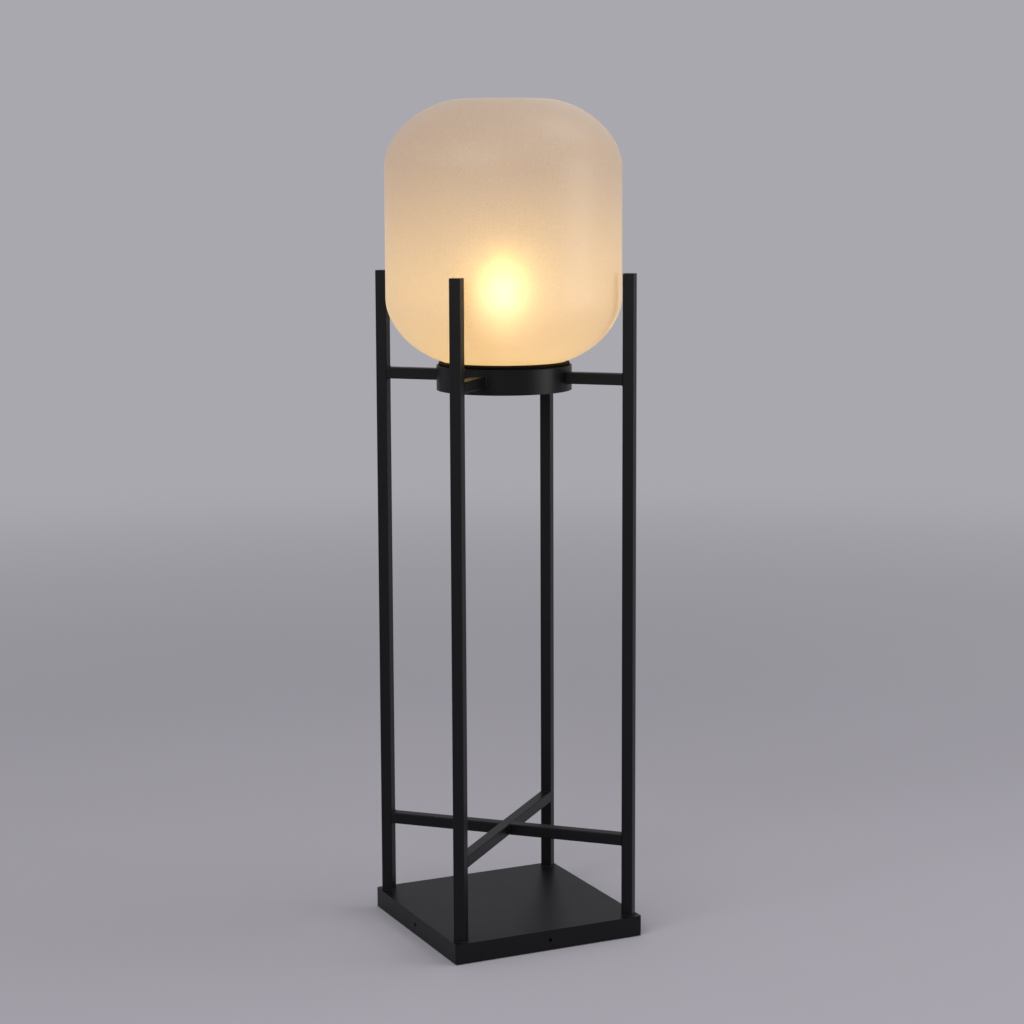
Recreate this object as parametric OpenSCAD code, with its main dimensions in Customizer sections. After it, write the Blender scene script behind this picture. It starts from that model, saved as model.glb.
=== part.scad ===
// Lantern lamp: an opal glass shade held between four square posts on a weighted base.
// Millimetres, Z up, floor at z = 0, origin under the middle of the base.
// The posts stand on the diagonals of the base. A frame turned to a diagonal calls that
// direction u, and the direction across it v.

/* [Glass shade] */
// Outer diameter of the glass
shade_d = 247; // [230:1:270]
// Height of the glass without its neck
shade_h = 275; // [240:1:320]
// Reach of the rounded edges in from the side
edge_in = 81; // [62:1:90]
// Height of the rounded edges
edge_h = 69; // [50:1:90]
// Fullness of the rounded edges, where 2 is an ellipse and less is flatter
edge_power = 1.8; // [1.6:0.1:2.4]
// Thickness of the glass
glass_t = 3; // [2:0.5:4]
// Outer diameter of the neck under the glass
neck_d = 127; // [112:1:132]
// Length of the neck below the seat
neck_l = 11; // [6:1:11]
// How far the glass lifts before it is clear of the bulb
shade_travel = 160; // [130:5:200]

/* [Tube frame] */
// Width of the square steel tube
tube_w = 12; // [10:1:16]
// Wall of the tube
tube_t = 1; // [0.8:0.1:1.5]
// Outer corner radius of the tube
tube_r = 1; // [0.5:0.1:2]
// Height of the post tops above the floor
post_top = 701; // [660:1:760]
// Thickness of the plate that closes each post
cap_t = 1; // [1:0.5:3]
// Depth of the plug under each cap
cap_plug = 8; // [4:1:15]
// Air between the glass and the posts
post_gap = 7.8; // [4:0.1:12]
// Height of the cross brace's centre line
brace_z = 104; // [60:1:200]
// Height of the centre line of the four arms
arm_z = 592; // [540:1:620]
// Gap that the weld fills where an arm meets the ring
cope_gap = 0.1; // [0.05:0.05:0.3]

/* [Base] */
// Height of the base cover's skirt
base_h = 21; // [20:1:30]
// Sheet thickness of the base cover
pan_t = 1.5; // [1:0.1:2]
// Bend radius of the top edges
pan_edge_r = 1.5; // [0.5:0.1:3]
// Radius of the four upright corners
pan_corner_r = 2; // [2:0.5:6]
// Margin from the posts' outer corners to the side of the base
base_margin = 2; // [0:0.1:10]
// Air under the skirt
skirt_gap = 1; // [0.5:0.5:2]
// Thickness of the bottom plate
plate_t = 2; // [1.5:0.5:3]
// Air between the bottom plate and the skirt
plate_gap = 0.3; // [0.2:0.1:0.6]
// Width of the upturned tabs of the bottom plate
tab_w = 16; // [12:1:30]
// Width of the bend relief beside each tab
relief_w = 1.5; // [1:0.5:3]
// Air between the ballast weight and the terminal block
weight_gap = 2.5; // [1:0.5:12]
// Thickness of the ballast weight
weight_t = 9; // [5:1:10]
// Corner chamfer of the ballast weight
weight_chamfer = 8; // [2:1:20]
// Diameter of the foot pads
foot_d = 20; // [12:1:25]
// Thickness of the foot pads
foot_h = 3; // [2.5:0.5:4]
// Distance from the side of the base to the centre of each pad
foot_inset = 21; // [16:1:40]

/* [Gallery] */
// Height of the ring
ring_h = 26; // [22:1:36]
// Wall of the ring
ring_t = 2; // [1.5:0.5:3]
// How far the middle of the ring lies below the middle of the arms
ring_drop = 1; // [0:0.5:4]
// Wall of the cup inside the ring
cup_t = 1.6; // [1:0.2:2]
// Bend radius at the foot of the cup
cup_bend_r = 3; // [2:0.5:5]
// How far the cup's rim stands above the ring
cup_rise = 2.5; // [1:0.5:4]
// How far the gasket stands above the ring at the outer edge of its top
seat_rise = 4.4; // [3.5:0.1:8]
// How far the outer edge of the gasket's top lies inside the cup's wall
seat_back = 2.2; // [0:0.1:3]
// Wall of the gasket's skirt
gasket_t = 1.9; // [1.5:0.1:3]
// Depth of the gasket's skirt below the cup's rim
gasket_skirt = 5.5; // [3:0.5:8]
// Sideways play between the neck and the gasket
neck_play = 1.5; // [0.5:0.1:3]
// Thickness of the strap that carries the lampholder
bracket_t = 1.2; // [1:0.1:2]
// Width of the strap
bracket_w = 16; // [12:1:20]
// Span of the strap between its legs
bracket_span = 52; // [44:1:60]
// Length of each foot of the strap
bracket_foot = 12; // [10:1:16]

/* [Lampholder] */
// Diameter of the ceramic body
holder_d = 39; // [36:1:44]
// Height of the ceramic body
holder_h = 38; // [34:1:44]
// Depth of its floor
holder_floor = 13; // [11:1:16]
// Wall of the screw shell
sleeve_t = 0.5; // [0.4:0.1:0.8]
// Air round the bulb's cap in the screw shell
cap_play = 0.6; // [0.4:0.1:0.8]

/* [Bulb] */
// Diameter of the globe
globe_d = 60; // [45:1:70]
// Overall length from the contact to the top
bulb_l = 98; // [90:0.5:120]
// Diameter of the screw cap
bulb_cap_d = 26.4; // [26:0.1:26.6]
// Height of the screw cap's shell
bulb_cap_h = 25; // [22:1:28]
// Wall of the globe
globe_t = 1; // [0.6:0.1:1.5]
// Pitch of the cap's thread, a rise for each turn
thread_pitch = 3.629; // [3.5:0.001:3.7]
// Turns from seated to loose
bulb_turns = 4; // [3:1:5]

/* [Lead and fasteners] */
// Diameter of the lead inside the tube
lead_d = 4.4; // [4:0.1:5]
// Diameter of one core
core_d = 2; // [1.6:0.1:2.2]
// Bend radius of the lead
lead_bend_r = 8; // [7:1:9]
// Diameter of the holes that the lead passes
lead_hole_d = 6; // [5.4:0.1:7]
// Diameter of the set screws in the skirt
set_screw_d = 4; // [3:0.5:5]
// Length of the set screws
set_screw_l = 8; // [6:1:12]
// Depth of the set screws below the skirt's face
set_screw_inset = 1; // [0.2:0.1:1.2]
// Diameter of the holes for the set screws
skirt_hole_d = 4.5; // [4.5:0.1:6]
// Diameter of the ballast screws
weight_screw_d = 5; // [4:0.5:6]
// Diameter of the bracket screws
bracket_screw_d = 4; // [3:0.5:4]
// Diameter of the holder screws
holder_screw_d = 3; // [2.5:0.5:3]
// Bore of the cord inlet
inlet_d = 7.2; // [6:0.1:8]

/* [Hidden] */
$fn = 64;

// Clearances
touch_gap = 0.3; // between parts that rest or fit against each other
thread_gap = 0.1; // round a screw in its thread
through_gap = 0.2; // round a screw in a plain hole
cut = 1; // how far a cutter runs past the face that it cuts

// Plan of the frame
post_u = shade_d / 2 + post_gap + tube_w / 2;
post_xy = post_u / sqrt(2);
post_face_u = post_u - tube_w / 2;
base_w = 2 * (post_xy + tube_w / sqrt(2) + base_margin);
front_left_angle = 225;
front_right_angle = 315;
back_right_angle = 45;
back_left_angle = 135;
across = -45; // turns x to the front right post and y to the back right one

// Heights in the base
plate_top = foot_h + plate_t;
pan_top = skirt_gap + base_h;
pan_under = pan_top - pan_t;
skirt_mid = skirt_gap + base_h / 2;
skirt_in = base_w / 2 - pan_t;
plate_w = 2 * (skirt_in - plate_gap);
plate_corner_r = pan_corner_r + 1;
tab_top = pan_under - 1.5;
relief_d = 4;

// Cord inlet
grommet_x = -35;
grommet_flange_d = 14;
grommet_flange_t = 1.5;
grommet_neck_d = 10.8;
grommet_hole_d = grommet_neck_d + 2 * touch_gap;
grommet_z = pan_under - grommet_flange_d / 2 - 0.5;

// Terminal block, with its poles along y and its barrels along x
pole_count = 3;
pole_pitch = 9;
block_l = 20;
block_w = pole_count * pole_pitch;
block_h = 12;
block_x = 25;
block_side_gap = 3; // from the block to the skirt
block_y = skirt_in - block_side_gap - block_w / 2;
pole_z = plate_top + 6;
barrel_d = 4;
barrel_bore_d = 2.6;
barrel_l = 16;
clamp_d = 2.6;
clamp_l = 3.6;
clamp_spread = 5.5;
clamp_hole_d = clamp_d + 2 * touch_gap;
groove_w = 1.4;
groove_d = 3;
block_screw_d = 3;
block_screw_y = block_y - pole_pitch / 2;

// Ballast weight, as wide as the terminal block leaves room for, and its screws
weight_w = 2 * (block_y - block_w / 2 - weight_gap);
weight_screw_inset = 17;
weight_screw_at = weight_w / 2 - weight_screw_inset;
weight_head_d = 2 * weight_screw_d;
weight_head_h = weight_screw_d / 2;
weight_top = plate_top + weight_t;

// Earth stud with its nut and lug, hung under the base cover
stud_x = 62;
stud_y = post_xy - 9;
stud_d = 4;
stud_l = 6.5;
lug_t = 0.8;
lug_d = 8;
lug_barrel_d = 4;
lug_barrel_l = 6;
nut_af = 7;
nut_h = 3.2;

// Lead, with its straight end beside the terminal block
lead_x = 50;
lead_end_u = 34;
core_spread = 1.05;
wire_in = 5; // how far a core reaches into its barrel

// Gallery, worked outwards from the neck of the glass
neck_r = neck_d / 2;
gasket_in_r = neck_r + neck_play;
cup_in_r = gasket_in_r + gasket_t + touch_gap;
cup_r = cup_in_r + cup_t;
seat_r = cup_r - seat_back;
ring_in_r = cup_r + 0.2;
ring_r = ring_in_r + ring_t;
ring_z0 = arm_z - ring_drop - ring_h / 2;
ring_top = ring_z0 + ring_h;
rim_chamfer = 0.3;
bracket_head_h = 2.2;
cup_floor_z = ring_z0 + bracket_head_h + 0.2;
cup_floor_top = cup_floor_z + cup_t;
cup_rim = ring_top + cup_rise;

// Lampholder and its bracket
holder_z = arm_z + lead_d / 2 + 0.6 + bracket_t;
bracket_bend_r = 2.2;
bracket_screw_v = bracket_span / 2 + bracket_foot / 2;
bracket_head_d = 2 * bracket_screw_d;
holder_screw_v = 12;
holder_screw_l = 8;
holder_head_h = 1.8;
core_hole_v = 5;
core_hole_u = 13;
core_hole_l = 4;
bulb_cap_r = bulb_cap_d / 2;
sleeve_in_r = bulb_cap_r + cap_play;
sleeve_r = sleeve_in_r + sleeve_t;
holder_bore_r = sleeve_r + touch_gap;
holder_floor_z = holder_z + holder_floor;
holder_top = holder_z + holder_h;
spring_h = 1.4;

// Bulb, measured up from its contact
bulb_z = holder_floor_z + spring_h + touch_gap;
bulb_top = bulb_z + bulb_l;
globe_r = globe_d / 2;
globe_z = bulb_top - globe_r;
contact_h = 0.8;
insulator_h = 3;
shell_z = bulb_z + contact_h + 0.5;
shell_top = shell_z + bulb_cap_h;
shell_t = 0.35;
bulb_neck_r = bulb_cap_r - shell_t - touch_gap;
bulb_rise = thread_pitch * bulb_turns;
stem_r = 2.3;
filament_count = 4;
filament_l = 34;
filament_d = 2.2;
filament_r = 9;
filament_z = globe_z - filament_l / 2;
spider_d = 0.8;

// Glass, with its lowest plane set by the seat
flat_r = shade_d / 2 - edge_in;
shade_z = ring_top + seat_rise + touch_gap - edge_lift(seat_r, edge_in, edge_h);
shade_top = shade_z + shade_h;
neck_z = shade_z - neck_l + 2;

echo(height = shade_top, base_w = base_w, shade_z = shade_z, bulb_top = bulb_top, bulb_rise = bulb_rise);
echo(ring = [ring_z0, ring_top, ring_r], neck_z = neck_z, seat_r = seat_r, shade_travel = shade_travel);
echo(post_xy = post_xy, post_u = post_u, block_y = block_y, grommet_z = grommet_z, bulb_z = bulb_z);

// How far the underside of a rounded edge has risen at radius r
function edge_lift(r, reach, rise) =
    r <= flat_r ? 0 : rise * (1 - pow(1 - pow((r - flat_r) / reach, edge_power), 1 / edge_power));

// Angle along a rounded edge at which it comes to radius r, from 90 at the flat to 0 at the side
function edge_angle(r, reach) =
    r <= flat_r ? 90 : acos(pow((r - flat_r) / reach, edge_power / 2));

// Points of a rounded edge from the angle a0 to a1, in steps, with z counted up from the flat
function edge_points(reach, rise, a0, a1, steps) = [
    for (i = [0:steps])
        let (a = a0 + (a1 - a0) * i / steps)
        [flat_r + reach * pow(cos(a), 2 / edge_power), rise * (1 - pow(sin(a), 2 / edge_power))]
];

// Points of an arc about the point at
function arc_points(at, r, a0, a1, steps) = [
    for (i = [0:steps])
        let (a = a0 + (a1 - a0) * i / steps)
        at + r * [cos(a), sin(a)]
];

// Points of a cubic curve with its two ends and two handles
function curve_points(p, steps) = [
    for (i = [0:steps])
        let (t = i / steps, s = 1 - t)
        s * s * s * p[0] + 3 * s * s * t * p[1] + 3 * s * t * t * p[2] + t * t * t * p[3]
];

function shifted(points, by) = [for (p = points) p + by];
function flipped(points, about_z) = [for (p = points) [p[0], about_z - p[1]]];
function reversed(points) = [for (i = [len(points) - 1:-1:0]) points[i]];

function unit(v) = v / norm(v);

// Direction of a route at its point i
function heading(route, i) =
    i == 0 ? unit(route[1] - route[0]) :
    i == len(route) - 1 ? unit(route[i] - route[i - 1]) :
    unit(unit(route[i + 1] - route[i]) + unit(route[i] - route[i - 1]));

// A round wire swept along a route that never runs along the direction beside
module wire(route, d, beside, sides = 8) {
    count = len(route);
    points = [
        for (i = [0:count - 1])
            let (ahead = heading(route, i), right = unit(cross(ahead, beside)), up = cross(right, ahead))
            for (k = [0:sides - 1])
                let (a = 360 * k / sides)
                route[i] + d / 2 * (cos(a) * right + sin(a) * up)
    ];
    side_faces = [
        for (i = [0:count - 2])
            for (k = [0:sides - 1])
                let (n = (k + 1) % sides, a = i * sides, b = a + sides)
                each [[a + k, b + k, b + n], [a + k, b + n, a + n]]
    ];
    first_cap = [[for (k = [0:sides - 1]) k]];
    last_cap = [[for (k = [sides - 1:-1:0]) (count - 1) * sides + k]];
    polyhedron(points = points, faces = concat(side_faces, first_cap, last_cap));
}

// A square with round corners, centred
module rounded_square(w, r) {
    inner = w / 2 - r;
    union() {
        square([w, 2 * inner], center = true);
        square([2 * inner, w], center = true);
        for (x = [-inner, inner], y = [-inner, inner])
            translate([x, y])
                circle(r);
    }
}

// A rectangle that stands on its base line, with its two top corners round
module arched(w, h, r) {
    translate([-w / 2, 0])
        square([w, h - r]);
    translate([r - w / 2, 0])
        square([w - 2 * r, h]);
    for (x = [r - w / 2, w / 2 - r])
        translate([x, h - r])
            circle(r);
}

module chamfered_square(w, c) {
    h = w / 2;
    polygon([
        for (k = [0:3], side = [0, 1])
            let (p = side == 0 ? [h, h - c] : [h - c, h], a = 90 * k)
            [p[0] * cos(a) - p[1] * sin(a), p[0] * sin(a) + p[1] * cos(a)]
    ]);
}

module tube_profile() {
    difference() {
        rounded_square(tube_w, tube_r);
        square(tube_w - 2 * tube_t, center = true);
    }
}

// A stretch of tube along x from x0 to x1, centred on the x axis
module tube_along_x(x0, x1) {
    translate([x0, 0, 0])
        rotate([0, 90, 0])
            linear_extrude(x1 - x0)
                tube_profile();
}

// A plain hexagonal prism of a width across flats
module hexagon(af, h) {
    cylinder(d = af / cos(30), h = h, $fn = 6);
}

// A screw with a round head above z = 0 and a hexagon socket in it
module pan_screw(d, l, head_d, head_h) {
    difference() {
        union() {
            translate([0, 0, -l])
                cylinder(d = d, h = l);
            cylinder(d = head_d, h = head_h * 0.6);
            translate([0, 0, head_h * 0.6])
                cylinder(d1 = head_d, d2 = head_d * 0.8, h = head_h * 0.4);
        }
        translate([0, 0, head_h * 0.4])
            hexagon(head_d * 0.36, head_h);
    }
}

module black_steel() {
    color([0.13, 0.13, 0.14])
        children();
}

module zinc_steel() {
    color([0.72, 0.73, 0.75])
        children();
}

module brass() {
    color([0.80, 0.66, 0.36])
        children();
}

module base_pan() {
    inside_r = pan_corner_r - pan_t > 0.3 ? pan_corner_r - pan_t : 0.3;
    black_steel()
        difference() {
            intersection() {
                translate([0, 0, skirt_gap])
                    linear_extrude(base_h)
                        rounded_square(base_w, pan_corner_r);
                for (turn = [0, 90])
                    rotate([90, 0, turn])
                        translate([0, skirt_gap, -base_w / 2 - cut])
                            linear_extrude(base_w + 2 * cut)
                                arched(base_w, base_h, pan_edge_r);
            }
            translate([0, 0, skirt_gap - cut])
                linear_extrude(base_h - pan_t + cut)
                    rounded_square(2 * skirt_in, inside_r);
            for (turn = [0:90:270])
                rotate([0, 0, turn])
                    translate([skirt_in - cut, 0, skirt_mid])
                        rotate([0, 90, 0])
                            cylinder(d = skirt_hole_d, h = pan_t + 2 * cut);
            translate([grommet_x, skirt_in - cut, grommet_z])
                rotate([-90, 0, 0])
                    cylinder(d = grommet_hole_d, h = pan_t + 2 * cut);
            translate([post_xy, post_xy, pan_under - cut])
                cylinder(d = lead_hole_d, h = pan_t + 2 * cut);
        }
}

module bottom_plate() {
    half = plate_w / 2;
    zinc_steel()
        difference() {
            union() {
                translate([0, 0, foot_h])
                    linear_extrude(plate_t)
                        rounded_square(plate_w, plate_corner_r);
                for (turn = [0:90:270])
                    rotate([0, 0, turn])
                        translate([half - plate_t, -tab_w / 2, foot_h])
                            cube([plate_t, tab_w, tab_top - foot_h]);
            }
            for (turn = [0:90:270])
                rotate([0, 0, turn]) {
                    for (y = [-tab_w / 2 - relief_w, tab_w / 2])
                        translate([half - relief_d, y, foot_h - cut])
                            cube([relief_d + cut, relief_w, plate_t + 2 * cut]);
                    translate([half - plate_t - cut, 0, skirt_mid])
                        rotate([0, 90, 0])
                            cylinder(d = set_screw_d + 2 * thread_gap, h = plate_t + 2 * cut);
                }
            at_weight_screws()
                translate([0, 0, foot_h - cut])
                    cylinder(d = weight_screw_d + 2 * thread_gap, h = plate_t + 2 * cut);
            translate([block_x, block_screw_y, foot_h - cut])
                cylinder(d = block_screw_d + 2 * thread_gap, h = plate_t + 2 * cut);
        }
}

module at_weight_screws() {
    for (x = [-weight_screw_at, weight_screw_at], y = [-weight_screw_at, weight_screw_at])
        translate([x, y, 0])
            children();
}

module ballast_weight() {
    color([0.34, 0.34, 0.36])
        difference() {
            translate([0, 0, plate_top])
                linear_extrude(weight_t)
                    chamfered_square(weight_w, weight_chamfer);
            at_weight_screws() {
                translate([0, 0, plate_top - cut])
                    cylinder(d = weight_screw_d + 2 * through_gap, h = weight_t + 2 * cut);
                translate([0, 0, weight_top - weight_head_h - through_gap])
                    cylinder(
                        d1 = weight_screw_d + 2 * through_gap,
                        d2 = weight_head_d + 2 * through_gap,
                        h = weight_head_h
                    );
                translate([0, 0, weight_top - through_gap])
                    cylinder(d = weight_head_d + 2 * through_gap, h = cut);
            }
        }
}

module ballast_screws() {
    head_top = weight_top - 2 * through_gap;
    neck = head_top - weight_head_h;
    zinc_steel()
        at_weight_screws()
            difference() {
                union() {
                    translate([0, 0, foot_h + thread_gap])
                        cylinder(d = weight_screw_d, h = neck - foot_h);
                    translate([0, 0, neck])
                        cylinder(d1 = weight_screw_d, d2 = weight_head_d, h = weight_head_h);
                }
                translate([0, 0, head_top - weight_head_h * 0.8])
                    hexagon(weight_screw_d * 0.6, weight_head_h);
            }
}

module side_screws() {
    zinc_steel()
        for (turn = [0:90:270])
            rotate([0, 0, turn])
                translate([base_w / 2 - set_screw_inset, 0, skirt_mid])
                    rotate([0, -90, 0])
                        difference() {
                            union() {
                                cylinder(d = set_screw_d, h = set_screw_l - 0.6);
                                translate([0, 0, set_screw_l - 0.6])
                                    cylinder(d1 = set_screw_d, d2 = set_screw_d - 1.2, h = 0.6);
                            }
                            translate([0, 0, -cut])
                                hexagon(set_screw_d / 2, 2 + cut);
                        }
}

module foot_pads() {
    at = base_w / 2 - foot_inset;
    color([0.16, 0.16, 0.16])
        for (x = [-at, at], y = [-at, at])
            translate([x, y, 0]) {
                cylinder(d1 = foot_d - 1, d2 = foot_d, h = 0.5);
                translate([0, 0, 0.5])
                    cylinder(d = foot_d, h = foot_h - 0.5);
            }
}

module cord_grommet() {
    color([0.10, 0.10, 0.10])
        translate([grommet_x, skirt_in - grommet_flange_t, grommet_z])
            rotate([-90, 0, 0])
                difference() {
                    union() {
                        cylinder(d = grommet_flange_d, h = grommet_flange_t);
                        cylinder(d = grommet_neck_d, h = pan_t + 2 * grommet_flange_t);
                        translate([0, 0, pan_t + grommet_flange_t])
                            cylinder(
                                d1 = grommet_flange_d,
                                d2 = grommet_flange_d - grommet_flange_t,
                                h = grommet_flange_t
                            );
                    }
                    translate([0, 0, -cut])
                        cylinder(d = inlet_d, h = pan_t + 2 * grommet_flange_t + 2 * cut);
                }
}

// Places its children at each pole's centre, on the axis of its barrel
module at_poles() {
    for (i = [0:pole_count - 1])
        translate([block_x, pole_y(i), pole_z])
            children();
}

function pole_y(i) = block_y + (i - (pole_count - 1) / 2) * pole_pitch;

module terminal_block() {
    color([0.93, 0.92, 0.88])
        difference() {
            translate([block_x - block_l / 2, block_y - block_w / 2, plate_top])
                cube([block_l, block_w, block_h]);
            at_poles() {
                translate([-block_l / 2 - cut, 0, 0])
                    rotate([0, 90, 0])
                        cylinder(d = barrel_d + 2 * touch_gap, h = block_l + 2 * cut);
                for (x = [-clamp_spread, clamp_spread])
                    translate([x, 0, 0])
                        cylinder(d = clamp_hole_d, h = block_h);
            }
            for (i = [1:pole_count - 1])
                translate([block_x - block_l / 2 - cut, pole_y(i) - (pole_pitch + groove_w) / 2, 0])
                    translate([0, 0, plate_top + block_h - groove_d])
                        cube([block_l / 4 + cut, groove_w, groove_d + cut]);
            translate([block_x, block_screw_y, plate_top - cut])
                cylinder(d = block_screw_d + 2 * through_gap, h = block_h + 2 * cut);
        }
}

module terminal_inserts() {
    brass()
        at_poles()
            difference() {
                translate([-barrel_l / 2, 0, 0])
                    rotate([0, 90, 0])
                        cylinder(d = barrel_d, h = barrel_l);
                translate([-barrel_l / 2 - cut, 0, 0])
                    rotate([0, 90, 0])
                        cylinder(d = barrel_bore_d, h = barrel_l + 2 * cut);
                for (x = [-clamp_spread, clamp_spread])
                    translate([x, 0, 0])
                        cylinder(d = clamp_d + 2 * thread_gap, h = barrel_d);
            }
}

module terminal_screws() {
    zinc_steel()
        at_poles()
            for (x = [-clamp_spread, clamp_spread])
                translate([x, 0, core_d / 2 + touch_gap])
                    difference() {
                        cylinder(d = clamp_d, h = clamp_l);
                        translate([-clamp_d, -0.25, clamp_l - 0.7])
                            cube([2 * clamp_d, 0.5, cut]);
                    }
}

module block_screw() {
    zinc_steel()
        translate([block_x, block_screw_y, plate_top + block_h])
            pan_screw(block_screw_d, block_h + plate_t - 0.3, 1.8 * block_screw_d, 1.8);
}

module earth_stud() {
    zinc_steel()
        translate([stud_x, stud_y, pan_under - stud_l])
            cylinder(d = stud_d, h = stud_l);
}

module earth_lug() {
    lug_z = pan_under - lug_t;
    color([0.75, 0.72, 0.68])
        translate([stud_x, stud_y, lug_z])
            difference() {
                union() {
                    cylinder(d = lug_d, h = lug_t);
                    translate([-lug_d / 2 - 2, -1.5, 0])
                        cube([lug_d / 2, 3, lug_t]);
                    translate([-lug_d / 2 - 1, 0, lug_t - lug_barrel_d / 2])
                        rotate([0, -90, 0])
                            cylinder(d = lug_barrel_d, h = lug_barrel_l);
                }
                translate([0, 0, -cut])
                    cylinder(d = stud_d + 2 * through_gap, h = lug_t + 2 * cut);
                translate([-lug_d / 2 - 3, 0, lug_t - lug_barrel_d / 2])
                    rotate([0, -90, 0])
                        cylinder(d = barrel_bore_d, h = lug_barrel_l);
            }
}

module earth_nut() {
    zinc_steel()
        translate([stud_x, stud_y, pan_under - lug_t - nut_h])
            difference() {
                hexagon(nut_af, nut_h);
                translate([0, 0, -cut])
                    cylinder(d = stud_d + 2 * thread_gap, h = nut_h + 2 * cut);
            }
}

// Route from the lug's barrel down to the first pole
module earth_wire() {
    lug_end = [stud_x - lug_d / 2 - 1 - lug_barrel_l, stud_y, pan_under - lug_barrel_d / 2];
    pole_end = [block_x + barrel_l / 2, pole_y(0), pole_z];
    color([0.45, 0.62, 0.20])
        wire(
            [
                lug_end + [3, 0, 0], lug_end + [-2, 0, 0], lug_end + [-5, -2, -2],
                pole_end + [9, 3, 3], pole_end + [5, 0, 0], pole_end + [-wire_in, 0, 0]
            ],
            core_d, [0, 0, 1]
        );
}

// Places its children at the side of the block where a core goes in, at pole i
module base_core(i, side) {
    lead_side = [lead_x, post_xy + side * core_spread, pole_z];
    pole_end = [block_x + barrel_l / 2, pole_y(i), pole_z];
    wire(
        [
            lead_side, lead_side + [-3, 0, 0],
            pole_end + [6, 0, 0], pole_end + [2, 0, 0], pole_end + [-wire_in, 0, 0]
        ],
        core_d, [0, 0, 1]
    );
}

module base_live_core() {
    color([0.42, 0.26, 0.16])
        base_core(2, 1);
}

module base_neutral_core() {
    color([0.20, 0.40, 0.72])
        base_core(1, -1);
}

// Core from the sheath's end up into the lampholder, on the side of v that side names
module holder_core(side) {
    start = [lead_end_u, side * core_spread, arm_z];
    hole = [core_hole_u, side * core_hole_v, holder_z];
    rotate([0, 0, back_right_angle])
        wire(
            [
                start, start + [-4, 0, 0], hole + [4, 0, arm_z - holder_z],
                hole + [1, 0, arm_z - holder_z + 1], hole + [0, 0, -1], hole + [0, 0, core_hole_l - touch_gap]
            ],
            core_d, [0, 1, 0]
        );
}

module holder_live_core() {
    color([0.42, 0.26, 0.16])
        holder_core(1);
}

module holder_neutral_core() {
    color([0.20, 0.40, 0.72])
        holder_core(-1);
}

// Through the base, up the back right post and in along its arm
module inner_lead() {
    rise_z0 = pole_z + lead_bend_r;
    rise_z1 = arm_z - lead_bend_r;
    in_base = arc_points([post_xy - lead_bend_r, rise_z0], lead_bend_r, -90, 0, 6);
    in_post = arc_points([post_u - lead_bend_r, rise_z1], lead_bend_r, 0, 90, 6);
    color([0.20, 0.20, 0.21])
        wire(
            concat(
                [[lead_x, post_xy, pole_z]],
                [for (p = in_base) [p[0], post_xy, p[1]]],
                [for (p = in_post) [p[0] * cos(back_right_angle), p[0] * sin(back_right_angle), p[1]]],
                [[lead_end_u * cos(back_right_angle), lead_end_u * sin(back_right_angle), arm_z]]
            ),
            lead_d, [0, 1, 0], 12
        );
}

module post(angle) {
    black_steel()
        rotate([0, 0, angle])
            translate([post_u, 0, pan_top])
                linear_extrude(post_top - cap_t - pan_top)
                    tube_profile();
}

module post_front_left() {
    post(front_left_angle);
}

module post_front_right() {
    post(front_right_angle);
}

// The lead leaves this post through a hole behind its arm
module post_back_right() {
    difference() {
        post(back_right_angle);
        rotate([0, 0, back_right_angle])
            translate([post_face_u - cut, 0, arm_z])
                rotate([0, 90, 0])
                    cylinder(d = lead_hole_d, h = tube_t + 2 * cut);
    }
}

module post_back_left() {
    post(back_left_angle);
}

module cap(angle) {
    color([0.12, 0.12, 0.13])
        rotate([0, 0, angle])
            translate([post_u, 0, post_top - cap_t]) {
                linear_extrude(cap_t)
                    rounded_square(tube_w, tube_r);
                translate([0, 0, -cap_plug])
                    linear_extrude(cap_plug)
                        square(tube_w - 2 * tube_t - 2 * touch_gap, center = true);
            }
}

module cap_front_left() {
    cap(front_left_angle);
}

module cap_front_right() {
    cap(front_right_angle);
}

module cap_back_right() {
    cap(back_right_angle);
}

module cap_back_left() {
    cap(back_left_angle);
}

// An arm from the inner face of its post to the ring, coped to the ring's round
module arm(angle) {
    black_steel()
        rotate([0, 0, angle])
            difference() {
                translate([0, 0, arm_z])
                    tube_along_x(ring_r - tube_w / 2, post_face_u);
                translate([0, 0, arm_z - tube_w])
                    cylinder(r = ring_r + cope_gap, h = 2 * tube_w);
            }
}

module arm_front_left() {
    arm(front_left_angle);
}

module arm_front_right() {
    arm(front_right_angle);
}

module arm_back_right() {
    arm(back_right_angle);
}

module arm_back_left() {
    arm(back_left_angle);
}

// The brace is a whole bar on one diagonal and two half bars on the other
module brace_through() {
    black_steel()
        rotate([0, 0, back_right_angle])
            translate([0, 0, brace_z])
                tube_along_x(-post_face_u, post_face_u);
}

module brace_left() {
    black_steel()
        rotate([0, 0, back_left_angle])
            translate([0, 0, brace_z])
                tube_along_x(tube_w / 2, post_face_u);
}

module brace_right() {
    black_steel()
        rotate([0, 0, front_right_angle])
            translate([0, 0, brace_z])
                tube_along_x(tube_w / 2, post_face_u);
}

// Hole for the lead through a round wall on the back right diagonal
module lead_way(wall_r) {
    rotate([0, 0, back_right_angle])
        translate([wall_r - ring_h / 2, 0, arm_z])
            rotate([0, 90, 0])
                cylinder(d = lead_hole_d, h = ring_h);
}

module gallery_ring() {
    c = rim_chamfer;
    black_steel()
        difference() {
            translate([0, 0, ring_z0])
                rotate_extrude($fn = 128)
                    polygon([
                        [ring_in_r, c], [ring_in_r + c, 0], [ring_r - c, 0], [ring_r, c],
                        [ring_r, ring_h - c], [ring_r - c, ring_h], [ring_in_r + c, ring_h], [ring_in_r, ring_h - c]
                    ]);
            lead_way(ring_r);
        }
}

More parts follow.
